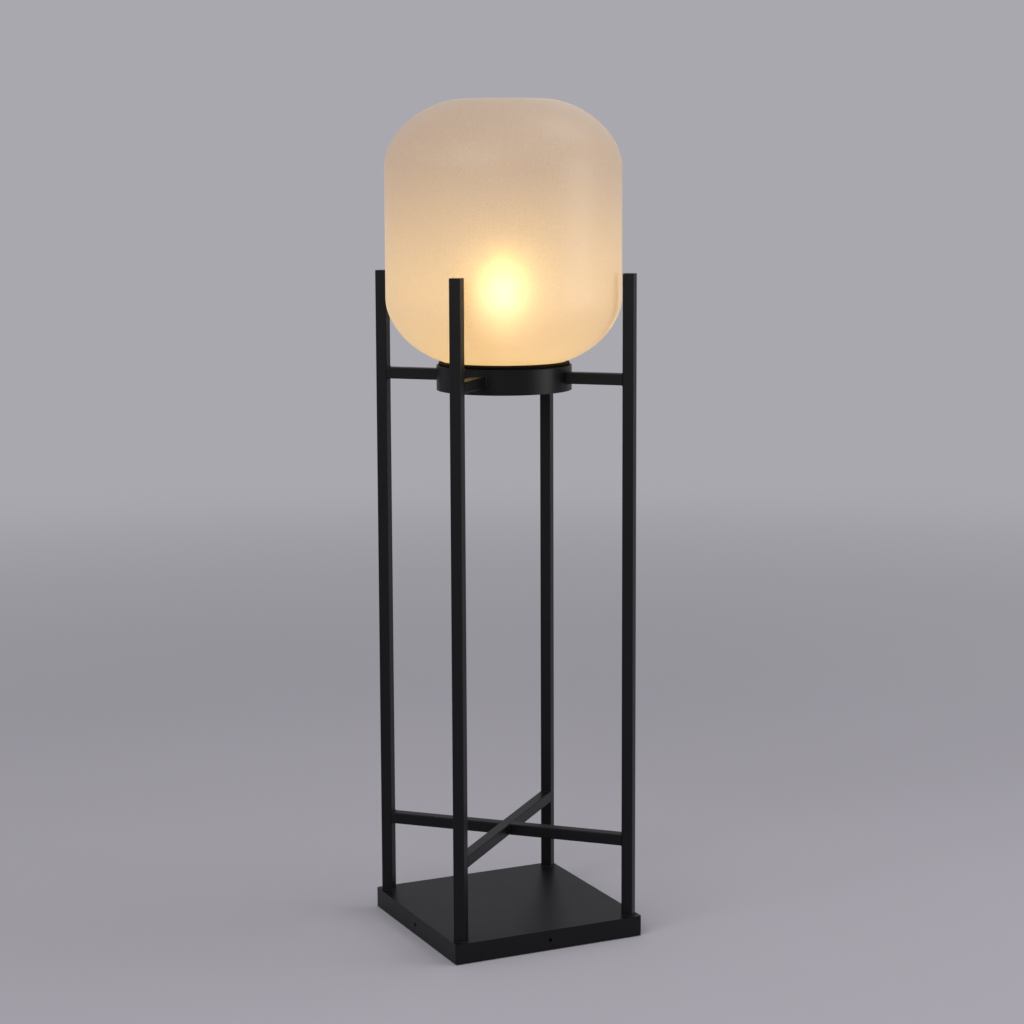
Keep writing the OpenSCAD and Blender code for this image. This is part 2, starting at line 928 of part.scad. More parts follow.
// A pressed cup that closes the ring from below and carries the gasket on its rim
module gallery_cup() {
    inner_bend = cup_bend_r - cup_t > 0.2 ? cup_bend_r - cup_t : 0.2;
    wall = concat(
        [[0, cup_floor_z]],
        arc_points([cup_r - cup_bend_r, cup_floor_z + cup_bend_r], cup_bend_r, -90, 0, 6),
        [[cup_r, cup_rim], [cup_in_r, cup_rim]],
        arc_points([cup_in_r - inner_bend, cup_floor_top + inner_bend], inner_bend, 0, -90, 4),
        [[0, cup_floor_top]]
    );
    black_steel()
        difference() {
            rotate_extrude($fn = 128)
                polygon(wall);
            rotate([0, 0, across])
                for (x = [-bracket_screw_v, bracket_screw_v])
                    translate([x, 0, cup_floor_z - cut])
                        cylinder(d = bracket_screw_d + 2 * through_gap, h = cup_t + 2 * cut);
            lead_way(cup_r);
        }
}

// Rubber on the rim of the cup, with a skirt round the neck, a sloping side and its top laid to the glass
module seat_gasket() {
    steps = 6;
    top = [
        for (i = [0:steps])
            let (r = seat_r + (gasket_in_r - seat_r) * i / steps)
            [r, shade_z + edge_lift(r, edge_in, edge_h) - touch_gap]
    ];
    skirt_z = cup_rim - gasket_skirt;
    color([0.08, 0.08, 0.08])
        rotate_extrude($fn = 128)
            polygon(concat(
                [[gasket_in_r, skirt_z], [gasket_in_r + gasket_t, skirt_z], [gasket_in_r + gasket_t, cup_rim]],
                [[cup_r, cup_rim]],
                top
            ));
}

// Inverted strap across the cup, under the lampholder
module holder_bracket() {
    rise = holder_z - cup_floor_top;
    half = bracket_span / 2;
    zinc_steel()
        rotate([0, 0, across])
            difference() {
                translate([0, bracket_w / 2, cup_floor_top])
                    rotate([90, 0, 0])
                        linear_extrude(bracket_w) {
                            difference() {
                                arched(bracket_span, rise, bracket_bend_r);
                                translate([0, -cut])
                                    arched(
                                        bracket_span - 2 * bracket_t,
                                        rise - bracket_t + cut,
                                        bracket_bend_r - bracket_t > 0.2 ? bracket_bend_r - bracket_t : 0.2
                                    );
                            }
                            translate([half - bracket_t, 0])
                                square([bracket_foot + bracket_t, bracket_t]);
                            translate([-half - bracket_foot, 0])
                                square([bracket_foot + bracket_t, bracket_t]);
                        }
                for (x = [-bracket_screw_v, bracket_screw_v])
                    translate([x, 0, cup_floor_top - cut])
                        cylinder(d = bracket_screw_d + 2 * through_gap, h = bracket_t + 2 * cut);
                for (x = [-holder_screw_v, holder_screw_v])
                    translate([x, 0, holder_z - bracket_t - cut])
                        cylinder(d = holder_screw_d + 2 * through_gap, h = bracket_t + 2 * cut);
            }
}

module bracket_screws() {
    zinc_steel()
        rotate([0, 0, across])
            for (x = [-bracket_screw_v, bracket_screw_v])
                translate([x, 0, cup_floor_z])
                    rotate([180, 0, 0])
                        pan_screw(
                            bracket_screw_d, cup_t + bracket_t + nut_h + 1, bracket_head_d, bracket_head_h
                        );
}

module bracket_nuts() {
    zinc_steel()
        rotate([0, 0, across])
            for (x = [-bracket_screw_v, bracket_screw_v])
                translate([x, 0, cup_floor_top + bracket_t])
                    difference() {
                        hexagon(nut_af, nut_h);
                        translate([0, 0, -cut])
                            cylinder(d = bracket_screw_d + 2 * thread_gap, h = nut_h + 2 * cut);
                    }
}

module holder_screws() {
    zinc_steel()
        rotate([0, 0, across])
            for (x = [-holder_screw_v, holder_screw_v])
                translate([x, 0, holder_z - bracket_t])
                    rotate([180, 0, 0])
                        pan_screw(holder_screw_d, holder_screw_l, 1.8 * holder_screw_d, holder_head_h);
}

// Ceramic body with a deep floor, a waist under its rim and holes for the cores and screws
module holder_body() {
    r = holder_d / 2;
    waist = 1.5;
    color([0.93, 0.92, 0.89])
        difference() {
            rotate_extrude()
                polygon(concat(
                    [[0, holder_z], [r - 1, holder_z], [r, holder_z + 1]],
                    [[r, holder_floor_z], [r - waist, holder_floor_z + 2], [r - waist, holder_top - 1.2]],
                    arc_points([r - waist - 1.2, holder_top - 1.2], 1.2, 0, 90, 5),
                    [[holder_bore_r, holder_top], [holder_bore_r, holder_floor_z], [0, holder_floor_z]]
                ));
            rotate([0, 0, across]) {
                for (x = [-holder_screw_v, holder_screw_v])
                    translate([x, 0, holder_z - cut])
                        cylinder(d = holder_screw_d + 2 * thread_gap, h = holder_screw_l + cut);
                for (x = [-core_hole_v, core_hole_v])
                    translate([x, core_hole_u, holder_z - cut])
                        cylinder(d = core_d + 2 * touch_gap, h = core_hole_l + cut);
            }
        }
}

// Brass screw shell with its inturned floor
module holder_sleeve() {
    brass()
        rotate_extrude()
            polygon([
                [sleeve_r - 5, holder_floor_z], [sleeve_r, holder_floor_z], [sleeve_r, holder_top - 2],
                [sleeve_in_r, holder_top - 2], [sleeve_in_r, holder_floor_z + sleeve_t],
                [sleeve_r - 5, holder_floor_z + sleeve_t]
            ]);
}

// Domed spring contact on the floor of the holder
module centre_contact() {
    brass()
        translate([0, 0, holder_floor_z])
            rotate_extrude()
                polygon([[0, 0], [6, 0], [6, 0.4], [4.5, 0.6], [3, spring_h], [0, spring_h]]);
}

module bulb_contact() {
    color([0.78, 0.78, 0.80])
        translate([0, 0, bulb_z])
            rotate_extrude()
                polygon([[0, 0], [3.2, 0], [4.2, contact_h], [0, contact_h]]);
}

module bulb_insulator() {
    r0 = 4.4;
    r1 = bulb_cap_r - 2;
    color([0.12, 0.12, 0.13])
        translate([0, 0, bulb_z + contact_h])
            rotate_extrude()
                polygon([[0, 0], [r0, 0], [r1, insulator_h], [0, insulator_h]]);
}

// Thin plated shell, drawn in at the foot to hold the insulator
module bulb_cap() {
    r = bulb_cap_r;
    foot_r = r - 1.4;
    taper = 4;
    color([0.80, 0.80, 0.80])
        rotate_extrude()
            polygon([
                [foot_r - shell_t, shell_z + insulator_h], [foot_r, shell_z + insulator_h],
                [r, shell_z + insulator_h + taper], [r, shell_top],
                [r - shell_t, shell_top], [r - shell_t, shell_z + insulator_h + taper]
            ]);
}

// Outline of the bulb's glass from its neck to its top, drawn in by a wall
function bulb_outline(wall) =
    let (
        shoulder = -40,
        at = [0, globe_z],
        r = globe_r - wall,
        joint = at + r * [cos(shoulder), sin(shoulder)],
        neck = [bulb_neck_r - wall, shell_top],
        along = 0.42 * (joint[1] - neck[1])
    )
    concat(
        [[neck[0], shell_top - 8]],
        curve_points([neck, neck + [0, along], joint + along * [sin(shoulder), -cos(shoulder)], joint], 10),
        arc_points(at, r, shoulder + 5, 90, 25)
    );

module bulb_envelope() {
    color([0.97, 0.95, 0.90])
        rotate_extrude()
            polygon(concat(bulb_outline(0), reversed(bulb_outline(globe_t))));
}

// Glass stem that carries the filaments, flared out to the neck at its foot
module bulb_stem() {
    foot = shell_top - 6;
    flare_r = bulb_neck_r - globe_t - touch_gap;
    top = filament_z + filament_l - touch_gap;
    color([0.85, 0.90, 0.92])
        rotate_extrude()
            polygon(concat(
                [[0, foot], [flare_r, foot]],
                curve_points([[flare_r, foot + 1], [4, foot + 3], [stem_r, foot + 8], [stem_r, foot + 20]], 8),
                [[stem_r, top], [0, top]]
            ));
}

module bulb_filaments() {
    color([0.98, 0.82, 0.42])
        for (i = [0:filament_count - 1])
            rotate([0, 0, 360 * i / filament_count])
                translate([filament_r, 0, filament_z])
                    cylinder(d = filament_d, h = filament_l);
}

// Spiders under and over the filaments, the lower round the stem and the upper across its top
module filament_wires() {
    reach = filament_r + spider_d;
    below = stem_r + thread_gap;
    color([0.70, 0.70, 0.72])
        for (i = [0:filament_count - 1])
            rotate([0, 0, 360 * i / filament_count]) {
                translate([below, 0, filament_z - spider_d / 2])
                    rotate([0, 90, 0])
                        cylinder(d = spider_d, h = reach - below);
                translate([0, 0, filament_z + filament_l + spider_d / 2])
                    rotate([0, 90, 0])
                        cylinder(d = spider_d, h = reach);
            }
}

// Blown glass: neck, rounded lower edge, straight side, rounded upper edge and flat top
module glass_shade() {
    steps = 22;
    in_reach = edge_in - glass_t;
    in_rise = edge_h - glass_t;
    in_neck_r = neck_r - glass_t;
    outside = concat(
        [[neck_r, neck_z]],
        shifted(edge_points(edge_in, edge_h, edge_angle(neck_r, edge_in), 0, steps), [0, shade_z]),
        reversed(flipped(edge_points(edge_in, edge_h, 90, 0, steps), shade_top)),
        [[0, shade_top]]
    );
    inside = concat(
        [[in_neck_r, neck_z]],
        shifted(
            edge_points(in_reach, in_rise, edge_angle(in_neck_r, in_reach), 0, steps),
            [0, shade_z + glass_t]
        ),
        reversed(flipped(edge_points(in_reach, in_rise, 90, 0, steps), shade_top - glass_t)),
        [[0, shade_top - glass_t]]
    );
    color([1.00, 0.88, 0.70])
        rotate_extrude($fn = 144)
            polygon(concat(outside, reversed(inside)));
}

base_pan();
bottom_plate();
ballast_weight();
ballast_screws();
side_screws();
foot_pads();
cord_grommet();
terminal_block();
terminal_inserts();
terminal_screws();
block_screw();
earth_stud();
earth_nut();
earth_lug();
earth_wire();
inner_lead();
base_live_core();
base_neutral_core();
holder_live_core();
holder_neutral_core();
post_front_left();
post_front_right();
post_back_right();
post_back_left();
cap_front_left();
cap_front_right();
cap_back_right();
cap_back_left();
arm_front_left();
arm_front_right();
arm_back_right();
arm_back_left();
brace_through();
brace_left();
brace_right();
gallery_ring();
gallery_cup();
seat_gasket();
holder_bracket();
bracket_screws();
bracket_nuts();
holder_screws();
holder_body();
holder_sleeve();
centre_contact();
bulb_contact();
bulb_insulator();
bulb_cap();
bulb_envelope();
bulb_stem();
bulb_filaments();
filament_wires();
glass_shade();
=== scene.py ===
"""Lantern lamp: the glass, finishes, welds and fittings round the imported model, with its studio and camera."""

import ast
from math import cos, pi, radians, sin, sqrt, tau

import bpy
from mathutils import Matrix, Vector


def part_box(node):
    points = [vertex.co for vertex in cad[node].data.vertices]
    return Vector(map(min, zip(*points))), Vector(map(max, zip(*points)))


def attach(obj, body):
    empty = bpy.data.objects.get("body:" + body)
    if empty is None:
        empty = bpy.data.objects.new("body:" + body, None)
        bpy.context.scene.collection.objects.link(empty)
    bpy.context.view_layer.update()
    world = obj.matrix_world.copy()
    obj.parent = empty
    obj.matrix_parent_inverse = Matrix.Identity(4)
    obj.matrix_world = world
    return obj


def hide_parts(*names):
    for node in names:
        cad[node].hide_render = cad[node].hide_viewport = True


bl_info = {
    "name": "Lantern Lamp",
    "version": (1, 0, 0),
    "blender": (4, 5, 0),
    "location": "View3D > Sidebar > Lantern Lamp",
    "description": "Dresses the packed lantern lamp and sets it in a plain studio",
    "category": "Object",
}

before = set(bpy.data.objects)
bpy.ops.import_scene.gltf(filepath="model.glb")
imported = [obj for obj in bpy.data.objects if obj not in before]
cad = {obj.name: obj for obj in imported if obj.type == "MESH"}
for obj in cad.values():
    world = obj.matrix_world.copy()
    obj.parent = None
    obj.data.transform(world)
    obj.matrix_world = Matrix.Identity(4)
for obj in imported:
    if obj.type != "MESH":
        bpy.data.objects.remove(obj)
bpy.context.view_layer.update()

MM = 0.001
# The posts' directions in degrees: front left, front right, back right and back left.
DIAGONALS = (225, 315, 45, 135)
TUBE = 12 * MM
TUBE_CORNER = 1 * MM
BASE_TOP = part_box("base_pan")[1].z
POST_U = (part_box("post_back_right")[0].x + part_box("post_back_right")[1].x) / sqrt(2)
RING_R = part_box("gallery_ring")[1].x
ARM_Z = (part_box("arm_back_right")[0].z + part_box("arm_back_right")[1].z) / 2
BRACE_Z = (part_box("brace_through")[0].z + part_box("brace_through")[1].z) / 2
FILAMENT_FOOT, FILAMENT_TOP = (corner.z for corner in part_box("bulb_filaments"))
GLOW_Z = (FILAMENT_FOOT + FILAMENT_TOP) / 2
THREAD_PITCH = 3.629 * MM
# Etching leaves a grain of about 0.1 mm, drawn at 0.4 mm so that it shows.
ETCH_GRAIN = 0.4 * MM
# Points of a skin that are nearer than this are one.
SAME_POINT = 0.001 * MM
# Edges that turn by more than this are crisp.
CREASE = radians(35)


# ---- Tools


def colour(code):
    """The linear colour of an sRGB hex code."""
    parts = [int(code[i : i + 2], 16) / 255 for i in (1, 3, 5)]
    return [c / 12.92 if c <= 0.04045 else ((c + 0.055) / 1.055) ** 2.4 for c in parts] + [1]


def feed(tree, socket, value):
    """Gives an input a value, the link to a socket, or the link to a node, which stands for its first output."""
    if isinstance(value, bpy.types.Node):
        value = value.outputs[0]
    if isinstance(value, bpy.types.NodeSocket):
        tree.links.new(value, socket)
    else:
        socket.default_value = value


def add(tree, kind, inputs=None, **settings):
    """Adds a node with its settings and its inputs."""
    made = tree.nodes.new(kind)
    for name, value in settings.items():
        setattr(made, name, value)
    for key, value in (inputs or {}).items():
        feed(tree, made.inputs[key], value)
    return made


def formula(tree, text, **names):
    """Lays out a formula in math nodes, and returns the last. Its names stand for numbers, sockets or nodes."""
    signs = {"Add": "ADD", "Sub": "SUBTRACT", "Mult": "MULTIPLY", "Div": "DIVIDE", "Pow": "POWER"}

    def laid(part):
        if isinstance(part, ast.Constant):
            return part.value
        if isinstance(part, ast.Name):
            return tau if part.id == "tau" else names[part.id]
        if isinstance(part, ast.Call):
            values, sign = part.args, part.func.id.upper()
        else:
            values, sign = (part.left, part.right), signs[type(part.op).__name__]
        return add(tree, "ShaderNodeMath", {i: laid(v) for i, v in enumerate(values)}, operation=sign)

    return laid(ast.parse(text).body[0].value)


# ---- Finishes


def new_finish(name):
    """Starts a finish. Returns its material and its tree, which is empty."""
    material = bpy.data.materials.new(name)
    material.use_nodes = True
    material.node_tree.nodes.clear()
    return material, material.node_tree


def seen_only(tree):
    """1 for rays that see a backdrop, straight or in metal and glass, and 0 for those that carry its light."""
    ray = add(tree, "ShaderNodeLightPath").outputs
    return formula(
        tree,
        "minimum(1, camera + gloss + through)",
        camera=ray["Is Camera Ray"],
        gloss=ray["Is Glossy Ray"],
        through=ray["Is Transmission Ray"],
    )


def grained(name, code, rough, grain_mm, depth_mm, spread=0.06, mottle=0.1, **shader):
    """A finish with a fine grain in its surface, its colour and gloss broken up a little over larger patches."""
    material, tree = new_finish(name)
    place = add(tree, "ShaderNodeTexCoord").outputs["Object"]
    grain = add(tree, "ShaderNodeTexNoise", {"Vector": place, "Scale": 1 / (grain_mm * MM), "Detail": 3.0})
    patch_mm = 12 * grain_mm
    cloud = add(tree, "ShaderNodeTexNoise", {"Vector": place, "Scale": 1 / (patch_mm * MM), "Detail": 4.0})
    low, high = ([c * share for c in colour(code)[:3]] + [1] for share in (1 - mottle, 1 + mottle))
    tint = add(tree, "ShaderNodeMix", {0: cloud, 6: low, 7: high}, data_type="RGBA")
    gloss = add(
        tree,
        "ShaderNodeMapRange",
        {"Value": cloud, "From Min": 0.3, "From Max": 0.7, "To Min": rough - spread, "To Max": rough + spread},
    )
    bump = add(tree, "ShaderNodeBump", {"Height": grain, "Strength": 1.0, "Distance": depth_mm * MM})
    surface = {"Base Color": tint.outputs[2], "Roughness": gloss, "Normal": bump}
    surface.update({key.replace("_", " "): value for key, value in shader.items()})
    add(tree, "ShaderNodeOutputMaterial", {"Surface": add(tree, "ShaderNodeBsdfPrincipled", surface)})
    return material


def make_opal_glass(look):
    """Opal glass, mould-blown and etched outside: a soft satin skin with a painted glow that stands for the bulb's
    light through it, warm and bright near the lamp and paler further off. Its flats between the etched pits are
    smoother, so the lamp shows through them as a core in a wide halo."""
    material, tree = new_finish("opal_glass_painted_glow")
    place = add(tree, "ShaderNodeTexCoord").outputs["Object"]
    # The painted glow is centred a little above the filaments, since the lamp cap shades the glass below it.
    middle = (0, 0, GLOW_Z + 3 * MM)
    away = add(tree, "ShaderNodeVectorMath", {0: place, 1: middle}, operation="DISTANCE").outputs["Value"]
    # The painted glow varies a little over patches of about 60 mm, as the blown wall is a little thicker in places.
    wall = add(tree, "ShaderNodeTexNoise", {"Vector": place, "Scale": 1 / (60 * MM), "Detail": 1.0})
    far = formula(tree, "minimum(1, maximum(0, (away - near) / reach))", away=away, near=85 * MM, reach=115 * MM)
    near_tint, far_tint = [*look.glow_near, 1], [*look.glow_far, 1]
    tint = add(tree, "ShaderNodeMix", {0: far, 6: near_tint, 7: far_tint}, data_type="RGBA")
    level = formula(
        tree,
        "level * (side / away) ** fall * (0.97 + 0.06 * wall)",
        level=look.glow_level,
        side=125 * MM,
        away=away,
        fall=look.glow_fall,
        wall=wall,
    )
    grain = add(tree, "ShaderNodeTexNoise", {"Vector": place, "Scale": 1 / ETCH_GRAIN, "Detail": 1.0})
    pits = add(
        tree,
        "ShaderNodeMapRange",
        {"Value": grain, "From Min": 0.36, "From Max": 0.6, "To Min": 0.23, "To Max": 0.9},
    )
    bump = add(tree, "ShaderNodeBump", {"Height": grain, "Strength": 1.0, "Distance": 0.012 * MM})
    # The sheen is the etched skin throwing the room's light back at grazing angles, which makes the rim paler.
    surface = add(
        tree,
        "ShaderNodeBsdfPrincipled",
        {
            "Base Color": [*look.opal, 1],
            "Roughness": pits,
            "IOR": 1.5,
            "Transmission Weight": 0.49,
            "Sheen Weight": 0.3,
            "Sheen Roughness": 0.45,
            "Emission Color": tint.outputs[2],
            "Emission Strength": level,
            "Normal": bump,
        },
    )
    add(tree, "ShaderNodeOutputMaterial", {"Surface": surface})
    return material


def make_filament(look):
    """Phosphor-coated filament: a yellow silicone skin that gives off the light, and dull metal tabs at its ends."""
    material, tree = new_finish("filament_phosphor")
    place = add(tree, "ShaderNodeTexCoord").outputs["Object"]
    height = add(tree, "ShaderNodeSeparateXYZ", {"Vector": place}).outputs["Z"]
    lit = formula(
        tree,
        "minimum(1, maximum(0, (reach - absolute(height - middle)) / fade))",
        reach=(FILAMENT_TOP - FILAMENT_FOOT) / 2 - 2 * MM,
        middle=GLOW_Z,
        height=height,
        fade=0.25 * MM,
    )
    tint = add(tree, "ShaderNodeMix", {0: lit, 6: colour("#B8B4AC"), 7: colour("#F3B94E")}, data_type="RGBA")
    surface = add(
        tree,
        "ShaderNodeBsdfPrincipled",
        {
            "Base Color": tint.outputs[2],
            "Roughness": 0.4,
            "Emission Color": [*look.filament, 1],
            "Emission Strength": formula(tree, "lit * level", lit=lit, level=look.filament_level),
        },
    )
    add(tree, "ShaderNodeOutputMaterial", {"Surface": surface})
    return material


def make_blown_glass(name, code, wave_mm, look=None, pits=None):
    """Clear glass, blown: sharp reflections that bend a little where the wall is uneven. The lit bulb's glass is given
    a painted glow for the filaments' glare, stronger towards the crown. Pits etch it: a range of grain, and the
    roughness it gives."""
    material, tree = new_finish(name)
    place = add(tree, "ShaderNodeTexCoord").outputs["Object"]
    wave = add(tree, "ShaderNodeTexNoise", {"Vector": place, "Scale": 1 / (wave_mm * MM), "Detail": 1.0})
    bump = add(tree, "ShaderNodeBump", {"Height": wave, "Strength": 1.0, "Distance": 0.04 * MM})
    rough, tint, level = 0.0, (0, 0, 0, 1), 0.0
    if pits:
        grain = add(tree, "ShaderNodeTexNoise", {"Vector": place, "Scale": 1 / ETCH_GRAIN, "Detail": 1.0})
        ends = dict(zip(("From Min", "From Max", "To Min", "To Max"), pits))
        rough = add(tree, "ShaderNodeMapRange", {"Value": grain, **ends})
    if look:
        height = add(tree, "ShaderNodeSeparateXYZ", {"Vector": place}).outputs["Z"]
        rise = formula(
            tree,
            "minimum(1, maximum(0, (height - middle) / (top - middle)))",
            height=height,
            middle=GLOW_Z,
            top=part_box("bulb_envelope")[1].z,
        )
        glare, crown = [*look.glare, 1], [*look.crown, 1]
        tint = add(tree, "ShaderNodeMix", {0: rise, 6: glare, 7: crown}, data_type="RGBA").outputs[2]
        level = formula(tree, "level * (1 + gain * rise ** 3)", level=look.glare_level, gain=look.crown_gain, rise=rise)
    surface = add(
        tree,
        "ShaderNodeBsdfPrincipled",
        {
            "Base Color": colour(code),
            "Roughness": rough,
            "IOR": 1.5,
            "Transmission Weight": 1.0,
            "Emission Color": tint,
            "Emission Strength": level,
            "Normal": bump,
        },
    )
    add(tree, "ShaderNodeOutputMaterial", {"Surface": surface})
    return material


def make_earth_core():
    """PVC insulation in the two earth colours, which run along the core in stripes."""
    material, tree = new_finish("pvc_green_yellow")
    place = add(tree, "ShaderNodeTexCoord").outputs["Object"]
    bands = add(tree, "ShaderNodeTexWave", {"Vector": place, "Scale": 160.0, "Distortion": 0.0}, bands_direction="Y")
    side = formula(tree, "greater_than(bands, 0.6)", bands=bands.outputs["Fac"])
    tint = add(tree, "ShaderNodeMix", {0: side, 6: colour("#E0C53A"), 7: colour("#3F8A43")}, data_type="RGBA")
    surface = add(tree, "ShaderNodeBsdfPrincipled", {"Base Color": tint.outputs[2], "Roughness": 0.42})
    add(tree, "ShaderNodeOutputMaterial", {"Surface": surface})
    return material


# Nodes whose finish isn't the one of their slot.
OWN_FINISH = {"gallery_cup": "cup_painted_shade", "filament_wires": "nickel_wire"}
finishes = {}


def make_finishes(look):
    """Every finish of the lamp, by the name of its slot."""
    # Polyester powder coat on steel, satin black: a soft sheen over orange peel. Its waves of about 1.5 mm are
    # drawn at 2.2 mm so that they show.
    finishes["powder_black"] = grained(
        "powder_coat_black", look.coat_code, 0.4, 2.2, 0.025, spread=0.012, mottle=0.03, Specular_IOR_Level=0.2
    )
    # The opal glass carries a painted glow for the bulb's light through it.
    finishes["opal_glass"] = make_opal_glass(look)
    # The inner face of the same glass: a lighter, open etch, which spreads the bulb's light before it leaves.
    finishes["opal_glass_inside"] = make_blown_glass("opal_glass_inside", "#FFFFFF", 20, pits=(0.4, 0.56, 0.02, 0.72))
    # The cup under the glass: dead matt black, darker than the coat beside it, as painted shade for the recess under
    # the glass.
    finishes["cup_painted_shade"] = grained("matt_black_painted_shade", "#050505", 0.8, 1.0, 0.02, Specular_IOR_Level=0.08)
    # Moulded EPDM rubber: nearly matt, with the grain of its mould.
    finishes["gasket_rubber"] = grained("epdm_rubber_black", "#060607", 0.66, 0.8, 0.03, Specular_IOR_Level=0.1)
    # Cut rubber sheet for the feet: dull, with a coarse skin.
    finishes["pad_rubber"] = grained("sheet_rubber_black", "#1A1A1B", 0.82, 1.2, 0.08)
    # Zinc plate on steel, bright passivated: a cool metal with faint cloudy patches.
    finishes["zinc_steel"] = grained("zinc_plate", "#B4B9BE", 0.34, 0.7, 0.01, spread=0.09, mottle=0.12, Metallic=1.0)
    # Zinc plate on the screws that show, darkened as painted shade so that their holes read as deep recesses, with the
    # gloss of the plate under it.
    finishes["zinc_painted_shade"] = grained("zinc_painted_shade", "#1A1A1C", 0.34, 0.7, 0.01, Metallic=1.0)
    # Hot-rolled steel, oiled: dark blue-grey scale with uneven gloss.
    finishes["ballast_steel"] = grained(
        "hot_rolled_steel", "#55565B", 0.5, 1.6, 0.05, spread=0.14, mottle=0.35, Metallic=0.9
    )
    # Moulded nylon: off-white with a slight wax gloss.
    finishes["block_nylon"] = grained("nylon_natural", "#E7E3D8", 0.42, 0.9, 0.015)
    # Rolled brass: warm metal, a little tarnished in patches.
    finishes["brass"] = grained("brass_rolled", "#C7A24F", 0.3, 0.6, 0.01, spread=0.1, mottle=0.15, Metallic=1.0)
    # Tinned copper: pale grey metal, softly dull.
    finishes["tinned_copper"] = grained("tinned_copper", "#C3BEB6", 0.38, 0.6, 0.015, Metallic=1.0)
    # PVC sheath and core insulation: smooth, half gloss.
    finishes["lead_pvc"] = grained("pvc_black", "#19191A", 0.4, 1.2, 0.02)
    finishes["core_brown"] = grained("pvc_brown", "#5B3820", 0.4, 1.0, 0.015)
    finishes["core_blue"] = grained("pvc_blue", "#2C5FA8", 0.4, 1.0, 0.015)
    finishes["core_earth"] = make_earth_core()
    # Glazed porcelain: white body under a clear glaze with a slight ripple.
    finishes["holder_ceramic"] = grained(
        "porcelain_glazed", "#EEEBE3", 0.22, 3.0, 0.05, spread=0.03, mottle=0.03, Coat_Weight=0.8, Coat_Roughness=0.05
    )
    # Nickel plate on brass: a warm grey, brightly polished metal.
    finishes["cap_nickel"] = grained("nickel_plate", "#C9C4BA", 0.2, 0.9, 0.008, mottle=0.08, Metallic=1.0)
    # Vitrite, the black glass that holds the contact: glossy, with small flow marks.
    finishes["vitrite"] = grained("vitrite_glass", "#0E0E12", 0.1, 1.5, 0.04, spread=0.04)
    # Solder: soft grey metal, set in lumps.
    finishes["solder"] = grained("solder_tin", "#BDBEC2", 0.33, 1.4, 0.12, mottle=0.12, Metallic=1.0)
    # The bulb is soda-lime glass and its stem lead glass: both clear and smooth, with slow waves in the wall.
    # The lit bulb's glass carries a painted glow for the filaments' glare, stronger towards its crown.
    finishes["bulb_glass"] = make_blown_glass("soda_glass_painted_glare", "#FFFDF8", 9, look)
    finishes["stem_glass"] = make_blown_glass("lead_glass_clear", "#F4FAF8", 4)
    finishes["filament"] = make_filament(look)
    # Drawn nickel wire: fine and bright.
    finishes["nickel_wire"] = grained("nickel_wire", "#BEBAB2", 0.28, 0.4, 0.01, Metallic=1.0)


# ---- Shapes


def shape_tree(name, *sizes, finishes=("Finish",)):
    """A geometry tree with an input for each size and finish. Returns the tree, its inputs, and a function that lays
    out formulas which know the sizes by name."""
    tree = bpy.data.node_groups.new(name, "GeometryNodeTree")
    tree.interface.new_socket("Seed", in_out="INPUT", socket_type="NodeSocketGeometry")
    for size in sizes:
        tree.interface.new_socket(size, in_out="INPUT", socket_type="NodeSocketFloat")
    for finish in finishes:
        tree.interface.new_socket(finish, in_out="INPUT", socket_type="NodeSocketMaterial")
    tree.interface.new_socket("Shape", in_out="OUTPUT", socket_type="NodeSocketGeometry")
    given = add(tree, "NodeGroupInput").outputs
    known = {size.lower().replace(" ", "_"): given[size] for size in sizes}

    def work(text, **names):
        return formula(tree, text, **(known | names))

    return tree, given, work


def close_tree(tree, shape, given=None):
    """Ends a tree with plain faces, crisp edges where they turn sharply, and its finish where it has just one."""
    real = add(tree, "GeometryNodeRealizeInstances", {"Geometry": shape})
    smooth = add(tree, "GeometryNodeSetShadeSmooth", {"Geometry": real, "Shade Smooth": True})
    fold = add(tree, "GeometryNodeInputMeshEdgeAngle").outputs["Unsigned Angle"]
    sharp = add(tree, "FunctionNodeCompare", {0: fold, 1: CREASE}, data_type="FLOAT", operation="GREATER_THAN")
    edges = {"Geometry": smooth, "Selection": sharp, "Shade Smooth": False}
    crisp = add(tree, "GeometryNodeSetShadeSmooth", edges, domain="EDGE")
    if given:
        crisp = add(tree, "GeometryNodeSetMaterial", {"Geometry": crisp, "Material": given["Finish"]})
    add(tree, "NodeGroupOutput", {"Shape": crisp})


